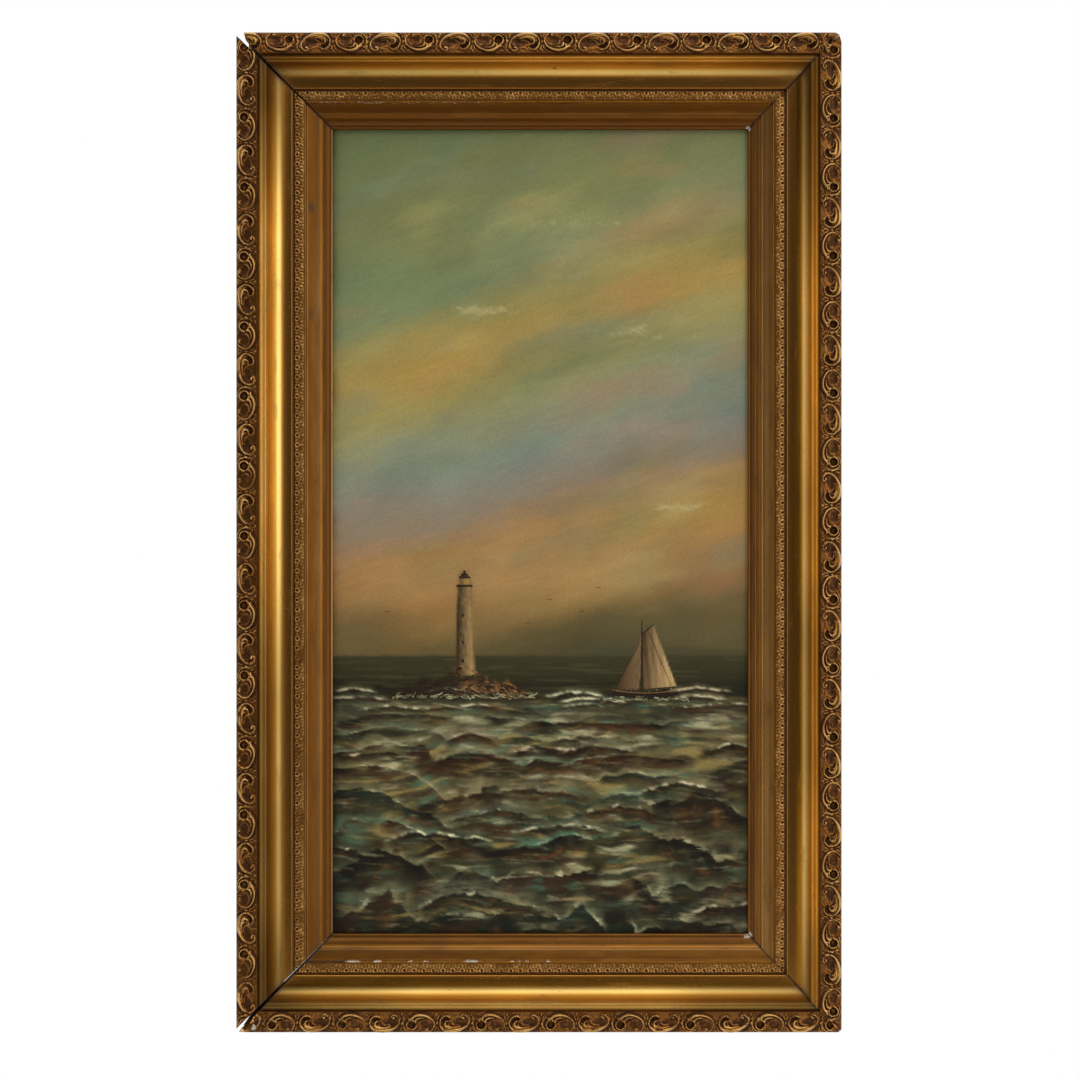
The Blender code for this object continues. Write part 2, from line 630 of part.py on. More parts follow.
def screw_eye(hand, x, z, material, collection):
    """A wire bent into a ring, its straight shank let into the back of the side rail."""
    radius = (EYE_RING - EYE_WIRE) / 2
    ring_y = -BACK_STEP + EYE_STAND + EYE_RING / 2
    points = [(0, -BACK_STEP - EYE_SHANK + EYE_HOLE_CLEARANCE, 0)]
    for i in range(EYE_SIDES + 1):
        turn = math.radians(-90 + EYE_CLOSING * i / EYE_SIDES)
        points.append((0, ring_y + radius * math.sin(turn), radius * math.cos(turn)))
    curve = bpy.data.curves.new("eye", "CURVE")
    curve.dimensions = "3D"
    curve.bevel_depth = EYE_WIRE / 2
    curve.bevel_resolution = 1
    curve.use_fill_caps = True
    spline = curve.splines.new("POLY")
    spline.points.add(len(points) - 1)
    for point, place in zip(spline.points, points):
        point.co = (*place, 1)
    curve_obj = bpy.data.objects.new("eye", curve)
    curve_obj.location = (x, 0, z)
    bpy.context.scene.collection.objects.link(curve_obj)
    bm = bmesh_from_curve(curve_obj)
    return object_from(bm, f"screw_eye_{hand}", material, collection, math.radians(40))


def bore_rail(rail, x, z, cutters):
    """Drills the blind hole that a screw eye's shank stands in."""
    bm = bmesh.new()
    radius = EYE_WIRE / 2 + EYE_HOLE_CLEARANCE
    bmesh.ops.create_cone(bm, cap_ends=True, segments=EYE_SIDES, radius1=radius, radius2=radius,
                          depth=2 * EYE_SHANK)
    turn = Matrix.Rotation(math.pi / 2, 4, "X")
    bmesh.ops.transform(bm, matrix=Matrix.Translation((x, -BACK_STEP, z)) @ turn, verts=bm.verts)
    mesh = bpy.data.meshes.new("hole")
    bm.to_mesh(mesh)
    bm.free()
    cutter = bpy.data.objects.new(f"hole_{rail.name}", mesh)
    cutter.hide_render = True
    cutter.display_type = "WIRE"
    cutters.objects.link(cutter)
    cut = rail.modifiers.new("Shank hole", "BOOLEAN")
    cut.operation = "DIFFERENCE"
    cut.solver = "EXACT"
    cut.object = cutter


def main():
    clear_scene()
    parts = new_collection("framed_painting")
    cutters = new_collection("cutters")
    gilding = finish("toned_gilding", (0.36, 0.20, 0.06), 0.38, 0.85)
    ornament = finish("dirty_gilt_ornament", (0.20, 0.11, 0.035), 0.5, 0.75)
    paint = finish("oil_paint", (0.20, 0.20, 0.13), 0.5, 0)
    pine = finish("stretcher_pine", (0.42, 0.27, 0.14), 0.75, 0)
    steel = finish("eye_steel", (0.30, 0.28, 0.26), 0.4, 1)
    moulding = moulding_section()
    sight = sight_section()
    rails = {}
    for side in CLOCKWISE:
        rails[side] = moulding_rail(side, moulding, "rail", gilding, parts)
        moulding_rail(side, sight, "sight_rail", gilding, parts)
        scroll_band(side, ornament, parts)
        leaf_band(side, ornament, parts)
        stretcher_bar(side, pine, parts)
    canvas(paint, parts)
    for hand, (x, z) in eye_places().items():
        screw_eye(hand, x, z, steel, parts)
        bore_rail(rails[hand], x, z, cutters)


main()
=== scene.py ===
"""Looks of a tall worn gilt picture frame that holds a sea view in oil on canvas.

The frame hangs. X runs to the right as one looks at the picture, Z up, and the picture faces -Y. A place
on a rail is (along, inset, height): along from the rail's middle, clockwise round the picture, inset
from the outer edge toward the picture, and height from the wall to the front. Meshes are in metres.
Sections, masks and the painting are in millimetres.
"""

import logging
import math
from collections.abc import Callable
from dataclasses import dataclass, field
from enum import Enum
from functools import partial
from typing import Generic, TypeVar

import bpy
import numpy as np
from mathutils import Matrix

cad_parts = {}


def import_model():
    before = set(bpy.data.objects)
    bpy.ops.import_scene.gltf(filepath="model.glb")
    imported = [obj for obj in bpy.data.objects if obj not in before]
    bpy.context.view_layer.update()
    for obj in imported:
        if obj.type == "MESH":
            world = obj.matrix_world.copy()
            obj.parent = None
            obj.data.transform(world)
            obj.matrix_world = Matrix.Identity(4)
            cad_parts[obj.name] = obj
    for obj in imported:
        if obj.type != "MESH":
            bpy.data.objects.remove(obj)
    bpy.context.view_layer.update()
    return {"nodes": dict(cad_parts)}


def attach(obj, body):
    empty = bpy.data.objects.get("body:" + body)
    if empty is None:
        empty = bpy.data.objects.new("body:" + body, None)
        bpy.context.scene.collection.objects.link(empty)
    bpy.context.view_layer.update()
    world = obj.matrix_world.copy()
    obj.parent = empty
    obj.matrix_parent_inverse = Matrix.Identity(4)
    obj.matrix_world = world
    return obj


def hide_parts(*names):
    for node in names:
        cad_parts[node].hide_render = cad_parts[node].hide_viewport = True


MM = 0.001
LOG = logging.getLogger("framed_painting")

Array = np.ndarray
Random = np.random.Generator
Three = tuple[float, float, float]
Rgb = Three
Socket = bpy.types.NodeSocket
Material = bpy.types.Material
Piece = bpy.types.Object
Inputs = dict[int | str, object]
T = TypeVar("T")


class Side(Enum):
    """The four sides of the frame, clockwise from the top."""

    TOP = 0
    RIGHT = 1
    BOTTOM = 2
    LEFT = 3

    @property
    def word(self) -> str:
        """The side's name as the nodes spell it."""
        return self.name.lower()

    @property
    def level(self) -> bool:
        """Whether the side's rail lies level."""
        return self in (Side.TOP, Side.BOTTOM)


@dataclass(frozen=True)
class PerSide(Generic[T]):
    """One value for each side of the frame."""

    top: T
    right: T
    bottom: T
    left: T

    def __getitem__(self, side: Side) -> T:
        """The value of one side."""
        return getattr(self, side.word)


@dataclass(frozen=True)
class Noise:
    """Smooth random fields from a seeded table, the same ones each time."""

    seed: int

    def value(self, x: Array, y: Array) -> Array:
        """One octave of smooth noise.

        Args:
            x: First coordinate, one lattice cell per unit.
            y: Second coordinate.

        Returns:
            Values from -1 to 1.
        """
        table = np.random.default_rng(self.seed).uniform(-1, 1, (256, 256))
        x, y = np.broadcast_arrays(np.asarray(x, float), np.asarray(y, float))
        cell_x, cell_y = np.floor(x).astype(int), np.floor(y).astype(int)
        part_x, part_y = (part * part * (3 - 2 * part) for part in (x - cell_x, y - cell_y))
        rows = []
        for up in (0, 1):
            low, high = (table[(cell_x + over) & 255, (cell_y + up) & 255] for over in (0, 1))
            rows.append(low + (high - low) * part_x)
        return rows[0] + (rows[1] - rows[0]) * part_y

    def cloud(self, x: Array, y: Array, octaves: int = 4) -> Array:
        """Several octaves of the noise, each half as strong as the last.

        Args:
            x: First coordinate.
            y: Second coordinate.
            octaves: How many octaves are added.

        Returns:
            Values of about -1 to 1.
        """
        total, strength = 0.0, 1.0
        for octave in range(octaves):
            shift = 17.3 * octave
            total = total + strength * self.value(x * 2**octave + shift, y * 2**octave - shift)
            strength *= 0.5
        return total / (2 - 2 * strength)


@dataclass(frozen=True)
class Mitre:
    """How far a rail's end stands back from the true mitre, in millimetres, and what its outer tip has lost.

    The distances are those at the front's outer edge, at the sight and at the wall. A band gives the
    ornament a distance of its own. A tip is the loss at the outer edge, the loss further in, and how far
    in that is.
    """

    outer: float = 0.4
    sight: float = 0.4
    wall: float = 0.6
    band: float | None = None
    tip: Three | None = None

    def distances(self, band: bool) -> tuple[float, ...]:
        """The distances that the rail, or its ornament, ends by.

        Args:
            band: Whether the ornament is asked for.

        Returns:
            The outer, sight and wall distances in metres.
        """
        own = band and self.band is not None
        values = (self.band,) * 3 if own else (self.outer, self.sight, self.wall)
        return tuple(value * MM for value in values)


@dataclass(frozen=True)
class Layout:
    """The frame's overall sizes, and the ends of its rails: each rail's start, then its end."""

    width: float = 575 * MM
    height: float = 950 * MM
    centre_z: float = -457 * MM
    fillet_height: float = 53.5 * MM
    sight_inset: float = 87.3 * MM
    tip_height: float = 30 * MM
    tip_roughness: float = 0.45 * MM
    mitres: PerSide[tuple[Mitre, Mitre]] = PerSide(
        (Mitre(1.4, 2.45, -2.6, tip=(7.5, 9.9, 9.2)), Mitre(band=0.2, tip=(5.7, 2.4, 2.4))),
        (Mitre(band=0.2, tip=(9.0, 2.4, 2.4)), Mitre(band=0.2, tip=(3.0, 1.5, 1.5))),
        (Mitre(band=0.2, tip=(3.0, 1.5, 1.5)), Mitre(1.0, 0.85, 0.7, tip=(17.0, 3.8, 2.4))),
        (Mitre(3.9, 2.55, 0.3), Mitre(3.0, 0.3, 3.6)),
    )

    def half_length(self, side: Side) -> float:
        """Half the outer length of a rail."""
        return (self.width if side.level else self.height) / 2

    def reach(self, side: Side) -> float:
        """Distance of a rail's outer edge from the picture's centre."""
        return (self.height if side.level else self.width) / 2

    def inside(self, inset: float) -> tuple[float, float]:
        """Width and height of what lies inside an inset."""
        return self.width - 2 * inset, self.height - 2 * inset

    def to_world(self, side: Side, along: Array, inset: Array, height: Array) -> Array:
        """Turns places on a rail, in metres, into points.

        Args:
            side: The rail's side.
            along: Distances from the rail's middle.
            inset: Distances from the outer edge.
            height: Heights from the wall.

        Returns:
            Points as rows of x, y, z.
        """
        out = self.reach(side) - inset
        turn = side.value * math.pi / 2
        x = along * math.cos(turn) + out * math.sin(turn)
        z = -along * math.sin(turn) + out * math.cos(turn) + self.centre_z
        return np.stack([x, -height + 0 * x, z], axis=-1)

    def ends(self, side: Side, inset: Array, height: Array, band: bool) -> tuple[Array, Array]:
        """Where a rail starts and ends, in metres, for each place of its section.

        Args:
            side: The rail's side.
            inset: Distances from the outer edge.
            height: Heights from the wall.
            band: Whether the ornament's own mitres are asked for.

        Returns:
            The lowest and the highest distance along the rail.
        """
        half = self.half_length(side)
        found = []
        for mitre in self.mitres[side]:
            outer, sight, wall = mitre.distances(band)
            back = wall + (outer - wall) * height / self.fillet_height
            limit = half - back - inset * (1 + (sight - outer) / self.sight_inset)
            if mitre.tip:
                near, far, reach = (value * MM for value in mitre.tip)
                rough = Noise(31).cloud(height / (4 * MM) + side.value, inset / (2 * MM))
                lost = (near + (far - near) / reach * inset) * np.clip(height / self.tip_height, 0, 1)
                limit = np.minimum(limit, half - lost + np.minimum(self.tip_roughness * rough, 0))
            found.append(limit)
        return -found[0], found[1]


LAYOUT = Layout()


@dataclass
class Sweep:
    """A closed section run along a rail, in metres, with masks for its finish."""

    side: Side
    section: Array
    spacing: float
    band: bool = False
    wide_spacing: float = 2 * MM
    close_columns: Three = (1.0, 2.5, 5.0)
    side_step: float = 0.37
    along: Array = field(init=False)
    inset: Array = field(init=False)
    height: Array = field(init=False)
    masks: dict[str, Array] = field(default_factory=dict)

    def __post_init__(self) -> None:
        """Lays out the grid of columns along the rail and rows round the section, closer near the ends."""
        start, end = LAYOUT.ends(self.side, self.section[:, 0], self.section[:, 1], self.band)
        longest = float((end - start).max())
        share = np.linspace(0, 1, max(2, round(longest / self.spacing)) + 1)
        if self.spacing > self.wide_spacing:
            close = np.array(self.close_columns) * MM / longest
            share = np.unique(np.concatenate([share, close, 1 - close]))
        self.along = start + (end - start) * share[:, None]
        self.inset = np.broadcast_to(self.section[:, 0], self.along.shape).copy()
        self.height = np.broadcast_to(self.section[:, 1], self.along.shape).copy()

    def mesh(self, name: str) -> bpy.types.Mesh:
        """Makes the closed mesh, with the places and masks kept as attributes.

        Args:
            name: The mesh's name.

        Returns:
            The mesh.
        """
        columns, rows = self.along.shape
        points = LAYOUT.to_world(self.side, self.along, self.inset, self.height).reshape(-1, 3)
        index = np.arange(columns * rows).reshape(columns, rows)
        after = np.roll(index, -1, axis=1)
        quads = np.stack([index[:-1], after[:-1], after[1:], index[1:]], axis=-1).reshape(-1, 4)
        faces = quads.tolist() + [index[0, ::-1].tolist(), index[-1].tolist()]
        mesh = bpy.data.meshes.new(name)
        mesh.from_pydata(points.tolist(), [], faces)
        place = np.stack([self.along, self.inset, self.height + self.side_step * self.side.value], axis=-1)
        keep_attribute(mesh, "rail_place", "FLOAT_VECTOR", place)
        for mask, values in self.masks.items():
            keep_attribute(mesh, mask, "FLOAT", values)
        return mesh


def keep_attribute(mesh: bpy.types.Mesh, name: str, kind: str, values: Array) -> None:
    """Stores one value per vertex.

    Args:
        mesh: The mesh.
        name: The attribute's name.
        kind: FLOAT, FLOAT_VECTOR or FLOAT_COLOR.
        values: The values, in the order of the vertices.
    """
    slot = {"FLOAT": "value", "FLOAT_VECTOR": "vector", "FLOAT_COLOR": "color"}[kind]
    attribute = mesh.attributes.new(name, kind, "POINT")
    attribute.data.foreach_set(slot, np.asarray(values, np.float32).ravel())


def show(
    mesh: bpy.types.Mesh, name: str, materials: list[Material],
    replaced: str | None = None, sharp_angle: float | None = None,
) -> Piece:
    """Links a mesh as a piece of the object.

    Args:
        mesh: The mesh.
        name: The piece's name.
        materials: Its materials, in the order of the faces' material numbers.
        replaced: The node that the piece stands for.
        sharp_angle: Edges over this angle, in degrees, stay sharp. None shades all of it smooth.

    Returns:
        The piece.
    """
    for material in materials:
        mesh.materials.append(material)
    mesh.shade_smooth()
    if sharp_angle is not None:
        mesh.set_sharp_from_angle(angle=math.radians(sharp_angle))
    piece = bpy.data.objects.new(name, mesh)
    bpy.context.scene.collection.objects.link(piece)
    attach(piece, "root")
    if replaced:
        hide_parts(replaced)
    LOG.info("%s: %d faces", name, len(mesh.polygons))
    return piece


def linear(red: float, green: float, blue: float) -> Array:
    """A display colour as scene light.

    Args:
        red: Its red, 0 to 255.
        green: Its green, 0 to 255.
        blue: Its blue, 0 to 255.

    Returns:
        The three channels, 0 to 1.
    """
    return np.array([
        value / 255 / 12.92 if value < 10.3 else ((value / 255 + 0.055) / 1.055) ** 2.4
        for value in (red, green, blue)
    ])


def laid_over(colour: Array, share: Array, shade: Array) -> Array:
    """Colours with another mixed in by a share for each."""
    return colour + share[..., None] * (shade - colour)


def varied(colour: Rgb, spread: float, hand: Random) -> Array:
    """A display colour as light, a little different each time."""
    return linear(*colour) * (1 + hand.normal(0, spread)) * (1 + hand.normal(0, spread / 3, 3))


class Nodes:
    """Builds a node tree in few words."""

    def __init__(self, tree: bpy.types.NodeTree) -> None:
        """Keeps the tree."""
        self.tree = tree

    def add(self, kind: str, **settings: object) -> bpy.types.Node:
        """Adds a node.

        Args:
            kind: Its type.
            settings: Its own properties.

        Returns:
            The node.
        """
        node = self.tree.nodes.new(kind)
        for key, value in settings.items():
            setattr(node, key, value)
        return node

    def put(self, target: Socket, value: object) -> None:
        """Fills an input.

        Args:
            target: The input.
            value: A socket to link, or a value, where three numbers are a colour for a colour input.
        """
        if isinstance(value, Socket):
            self.tree.links.new(value, target)
        elif isinstance(value, tuple) and len(value) == 3 and target.type == "RGBA":
            target.default_value = (*value, 1)
        else:
            target.default_value = value

    def made(self, kind: str, output: int | str, inputs: Inputs, **settings: object) -> Socket:
        """Adds a node, fills some of its inputs and gives one of its outputs.

        Args:
            kind: The node's type.
            output: The number or name of the output.
            inputs: Sockets or values by the inputs' numbers or names.
            settings: The node's own properties.

        Returns:
            The output.
        """
        node = self.add(kind, **settings)
        for key, value in inputs.items():
            self.put(node.inputs[key], value)
        return node.outputs[output]

    def carried(self, name: str, output: str = "Fac") -> Socket:
        """A number, or the Vector or Color, that the mesh carries under a name."""
        return self.made("ShaderNodeAttribute", output, {}, attribute_name=name)

    def here(self, output: str = "Object") -> Socket:
        """The point's place on the object."""
        return self.made("ShaderNodeTexCoord", output, {})

    def noise(self, place: Socket, scale: float | Three, detail: float, roughness: float) -> Socket:
        """Noise from 0 to 1 over a place.

        Args:
            place: The place.
            scale: Its scale, or one for each axis.
            detail: How many octaves it has.
            roughness: How strong the finer ones are.

        Returns:
            The noise.
        """
        if isinstance(scale, tuple):
            place = self.made("ShaderNodeVectorMath", 0, {0: place, 1: scale}, operation="MULTIPLY")
            scale = 1.0
        settings = {"Vector": place, "Scale": scale, "Detail": detail, "Roughness": roughness}
        return self.made("ShaderNodeTexNoise", "Fac", settings)

    def span(self, value: Socket, low: float, high: float, to_low: float = 0, to_high: float = 1) -> Socket:
        """A number's range moved to another, and held inside it."""
        settings = {"Value": value, "From Min": low, "From Max": high, "To Min": to_low, "To Max": to_high}
        return self.made("ShaderNodeMapRange", 0, settings)

    def maths(self, operation: str, first: object, second: object = 0.0) -> Socket:
        """One step of arithmetic."""
        return self.made("ShaderNodeMath", 0, {0: first, 1: second}, operation=operation)

    def plus(self, first: object, *others: object) -> Socket:
        """Numbers added in order.

        Args:
            first: The first number.
            others: Those added to it.

        Returns:
            Their sum.
        """
        for other in others:
            first = self.maths("ADD", first, other)
        return first

    def times(self, first: object, second: object) -> Socket:
        """A number multiplied by another."""
        return self.maths("MULTIPLY", first, second)

    def axis(self, place: Socket, number: int, scale: float) -> Socket:
        """One coordinate of a place, multiplied."""
        return self.times(self.made("ShaderNodeSeparateXYZ", number, {0: place}), scale)

    def mix(self, share: object, first: object, second: object) -> Socket:
        """Two colours mixed."""
        return self.made("ShaderNodeMix", 2, {0: share, 6: first, 7: second}, data_type="RGBA")


class Finish(Nodes):
    """Builds a material round its Principled shader."""

    def __init__(self, name: str) -> None:
        """Starts a material that holds only the shader.

        Args:
            name: Its name.
        """
        self.material = bpy.data.materials.new(name)
        self.material.use_nodes = True
        super().__init__(self.material.node_tree)

    def done(
        self, height: Socket | None = None, depth: float = 0, strength: float = 0, **sockets: object
    ) -> Material:
        """Sets the shader's inputs and gives the material.

        Args:
            height: Height of the fine relief, if it has any.
            depth: Depth of the relief, in metres.
            strength: How much of it shows.
            sockets: Values of the shader's inputs, named with underscores.

        Returns:
            The material.
        """
        shader = self.tree.nodes["Principled BSDF"]
        if height is not None:
            settings = {"Height": height, "Distance": depth, "Strength": strength}
            self.put(shader.inputs["Normal"], self.made("ShaderNodeBump", 0, settings))
        for key, value in sockets.items():
            self.put(shader.inputs[key.replace("_", " ")], value)
        return self.material


@dataclass(frozen=True)
class ToneGilding:
    """Metal leaf under a brown toning lacquer, rubbed, dirty and chipped in places, with painted highlights
    and painted shade laid into its colour.
    """

    name: str = "toned_gilding"
    leaf: Rgb = (0.92, 0.390, 0.032)
    streak: Rgb = (0.62, 0.240, 0.020)
    # pale: the colour of painted highlights.
    pale: Rgb = (0.98, 0.70, 0.22)
    # deep: the colour of painted shade, and of the outer side's darker tone.
    deep: Rgb = (0.46, 0.200, 0.036)
    bole: Rgb = (0.20, 0.06, 0.02)
    grime: Rgb = (0.055, 0.022, 0.006)
    # shade: the colour of painted shade where the light falls off toward the corners.
    shade: Rgb = (0.060, 0.024, 0.004)
    gesso: Rgb = (0.82, 0.75, 0.62)
    roughness: float = 0.22
    matte: float = 0.33

    def material(self) -> Material:
        """Builds the finish from the rail's own places, so that its streaks run with the rail."""
        nodes = Finish(self.name)
        place = nodes.carried("rail_place", "Vector")
        streaks = nodes.noise(place, (7, 380, 380), 4, 0.6)
        blots = nodes.noise(place, (22, 60, 60), 4, 0.6)
        specks = nodes.noise(place, (420, 700, 700), 2, 0.5)
        hairs = nodes.noise(place, (45, 1500, 1500), 3, 0.6)
        crumbs = nodes.noise(place, (1100, 1500, 40), 3, 0.7)
        tone = nodes.plus(nodes.times(streaks, 0.4), nodes.times(blots, 0.3), nodes.times(hairs, 0.3))
        gold = nodes.mix(nodes.span(tone, 0.38, 0.60), self.streak, self.leaf)
        # Painted light: pale lays painted highlights, dim lays painted shade where the light falls off, and
        # deepen lays painted shade together with a darker tone of the finish.
        for mask, colour in (("pale", self.pale), ("dim", self.shade), ("deepen", self.deep)):
            gold = nodes.mix(nodes.carried(mask), gold, colour)
        wear = nodes.plus(nodes.carried("rub"), nodes.span(specks, 0.58, 0.70, 0, 0.9))
        worn = nodes.span(nodes.times(wear, nodes.span(blots, 0.3, 0.7)), 0.25, 0.6)
        gold = nodes.mix(nodes.times(worn, 0.40), gold, self.bole)
        # The dirt mask also carries painted shade in the grooves.
        dirt = nodes.times(nodes.carried("dirt"), nodes.span(blots, 0.2, 0.6, 0.6, 1.0))
        gold = nodes.mix(dirt, gold, self.grime)
        ragged = nodes.plus(nodes.carried("chip"), nodes.span(crumbs, 0.3, 0.7, -1.25, 0.45))
        chip = nodes.span(ragged, 0.40, 0.5)
        dull = nodes.maths("MAXIMUM", chip, nodes.times(dirt, 0.8))
        matte = nodes.maths("MAXIMUM", dull, nodes.carried("matte"))
        rough = nodes.span(tone, 0.3, 0.7, self.roughness - 0.03, self.roughness + 0.05)
        grain = nodes.plus(nodes.times(hairs, 0.6), nodes.times(specks, 0.6))
        return nodes.done(
            grain, 0.00010, 0.5, Base_Color=nodes.mix(chip, gold, self.gesso),
            Metallic=nodes.span(dull, 0, 1, 1, 0.05),
            Roughness=nodes.plus(rough, nodes.times(matte, self.matte)))


@dataclass(frozen=True)
class CastOrnament:
    """Composition cast in moulds, gilded and toned dark, rubbed on its rims, with a painted highlight on the
    scrolls' crests, and dirty in its hollows.
    """

    name: str
    rim: Rgb = (0.74, 0.42, 0.13)
    face: Rgb = (0.28, 0.108, 0.022)
    hollow: Rgb = (0.062, 0.022, 0.006)
    paste: Rgb = (0.62, 0.54, 0.42)
    roughness: float = 0.24

    def material(self) -> Material:
        """Builds the finish from the relief's own masks."""
        nodes = Finish(self.name)
        place = nodes.carried("rail_place", "Vector")
        blots = nodes.noise(place, (60, 90, 40), 4, 0.6)
        specks = nodes.noise(place, (800, 800, 40), 3, 0.6)
        rub = nodes.plus(nodes.carried("rub"), nodes.span(blots, 0.3, 0.7, -0.25, 0.25))
        base = nodes.mix(nodes.span(rub, 0.1, 0.8), self.face, self.rim)
        dirt = nodes.plus(nodes.carried("dirt"), nodes.span(specks, 0.3, 0.7, -0.2, 0.2))
        base = nodes.mix(nodes.span(dirt, 0.15, 0.85), base, self.hollow)
        ragged = nodes.plus(nodes.carried("chip"), nodes.span(specks, 0.3, 0.7, -0.3, 0.3))
        chip = nodes.span(ragged, 0.5, 0.6)
        dull = nodes.maths("MAXIMUM", chip, nodes.span(dirt, 0.2, 0.9, 0, 0.7))
        return nodes.done(
            specks, 0.00020, 0.6, Base_Color=nodes.mix(chip, base, self.paste), Specular_IOR_Level=0.3,
            Metallic=nodes.span(dull, 0, 1, 0.95, 0.45),
            Roughness=nodes.span(dull, 0, 1, self.roughness, 0.62))


@dataclass(frozen=True)
class BareWood:
    """Old softwood with no finish, for backs and stretcher bars."""

    name: str
    level: bool
    fine: float
    light: Rgb = (0.36, 0.215, 0.105)
    dark: Rgb = (0.17, 0.09, 0.04)

    def material(self) -> Material:
        """Builds the grain along the piece."""
        nodes = Finish(self.name)
        here = nodes.here()
        across = (3, self.fine, self.fine) if self.level else (self.fine, self.fine, 3)
        grain = nodes.noise(here, across, 5, 0.65)
        fibres = nodes.noise(here, tuple(6 * value for value in across), 3, 0.6)
        stain = nodes.noise(here, 7, 3, 0.6)
        base = nodes.mix(nodes.span(grain, 0.35, 0.65), self.dark, self.light)
        return nodes.done(
            nodes.plus(nodes.times(grain, 0.5), nodes.times(fibres, 0.5)), 0.0004, 0.5,
            Base_Color=nodes.mix(nodes.span(stain, 0.45, 0.75, 0, 0.5), base, self.dark),
            Roughness=nodes.span(fibres, 0.3, 0.7, 0.66, 0.85))


@dataclass(frozen=True)
class OilPaint:
    """Oil colour laid with a brush over canvas, under an old satin varnish."""

    name: str
    weave: float = 0.00005
    weave_pitch: float = 0.9 * MM
    bristle: float = 0.0
    bristle_depth: float = 0.00018
    roughness: float = 0.42

    def material(self) -> Material:
        """Builds the paint from the mesh's own colours, with bristle lines or weave over them."""
        nodes = Finish(self.name)
        here, along = nodes.here(), nodes.carried("stroke_place", "Vector")
        if self.bristle:
            height = nodes.noise(along, (9, 0.6, 40), 3, 0.6)
            shade = nodes.span(height, 0.25, 0.75, 1 - self.bristle, 1 + self.bristle)
        else:
            streaks = nodes.noise(along, (30, 220, 1), 4, 0.6)
            mottle = nodes.span(nodes.noise(here, 620, 3, 0.7), 0.3, 0.7, 0.88, 1.12)
            shade = nodes.times(nodes.span(streaks, 0.25, 0.75, 0.95, 1.05), mottle)
            height = nodes.plus(nodes.times(woven(nodes, here, self.weave_pitch), 0.5), streaks)
        paint = {0: nodes.carried("paint", "Color"), "Scale": shade}
        tint = nodes.made("ShaderNodeVectorMath", 0, paint, operation="SCALE")
        rough = nodes.noise(here, 900, 2, 0.5)
        rough = nodes.span(rough, 0.3, 0.7, self.roughness - 0.05, self.roughness + 0.08)
        depth = self.bristle_depth if self.bristle else self.weave
        return nodes.done(height, depth, 0.7, Base_Color=tint, Roughness=rough, Specular_IOR_Level=0.22)


def woven(nodes: Nodes, here: Socket, pitch: float) -> Socket:
    """A plain weave of two sets of threads, from -1 to 1."""
    warp, weft = (nodes.maths("SINE", nodes.axis(here, number, 2 * math.pi / pitch)) for number in (0, 2))
    return nodes.times(warp, weft)


@dataclass(frozen=True)
class RawLinen:
    """The back of an old primed canvas: brown linen with dust along its threads."""

    name: str = "raw_linen"
    pale: Rgb = (0.33, 0.24, 0.14)
    dusty: Rgb = (0.17, 0.115, 0.065)
    pitch: float = 1.1 * MM

    def material(self) -> Material:
        """Builds the plain weave."""
        nodes = Finish(self.name)
        here = nodes.here()
        weave = woven(nodes, here, self.pitch)
        slubs = nodes.noise(here, (40, 40, 700), 3, 0.6)
        stain = nodes.noise(here, 5, 4, 0.6)
        base = nodes.mix(nodes.span(weave, -1, 1, 0.2, 1), self.dusty, self.pale)
        return nodes.done(
            nodes.plus(weave, slubs), 0.0002, 0.6, Sheen_Weight=0.15,
            Base_Color=nodes.mix(nodes.span(stain, 0.45, 0.75, 0, 0.6), base, self.dusty),
            Roughness=nodes.span(slubs, 0.3, 0.7, 0.8, 0.95))


@dataclass(frozen=True)
class DullSteel:
    """Bent wire with a thin brown bloom of rust."""

    name: str = "dull_steel"
    bright: Rgb = (0.42, 0.40, 0.37)
    rust: Rgb = (0.16, 0.075, 0.035)

    def material(self) -> Material:
        """Builds the patches of rust over the metal."""
        nodes = Finish(self.name)
        patches = nodes.noise(nodes.here(), 420, 4, 0.6)
        rusty = nodes.span(patches, 0.42, 0.62)
        return nodes.done(
            patches, 0.0001, 0.5, Base_Color=nodes.mix(rusty, self.bright, self.rust),
            Metallic=nodes.span(rusty, 0, 1, 1, 0.2), Roughness=nodes.span(rusty, 0, 1, 0.32, 0.8))


def bead(start: float, width: float, foot: float, rise: float, after: float, steps: int = 6) -> list[tuple]:
    """A round bead of a section.

    Args:
        start: The inset where it begins.
        width: Its width.
        foot: The height it rises from.
        rise: How far it rises.
        after: The height it falls back to.
        steps: How many parts it has.

    Returns:
        Places as (inset, height).
    """
    points = []
    for i in range(steps + 1):
        turn = math.pi * i / steps
        base = foot if turn < math.pi / 2 else after
        inset = start + width / 2 * (1 - math.cos(turn))
        points.append((inset, base + (foot + rise - base) * math.sin(turn) ** 0.6))
    return points


def hollow(first: tuple, last: tuple, sag: float, steps: int) -> list[tuple]:
    """A shallow hollow between two places of a section, ends included.

    Args:
        first: Where it starts, as (inset, height).
        last: Where it ends.
        sag: How deep its middle lies under the straight line.
        steps: How many parts it has.

    Returns:
        Places as (inset, height).
    """
    points = []
    for i in range(steps + 1):
        share = i / steps
        line = [first[k] + (last[k] - first[k]) * share for k in (0, 1)]
        points.append((line[0], line[1] - sag * 4 * share * (1 - share)))
    return points


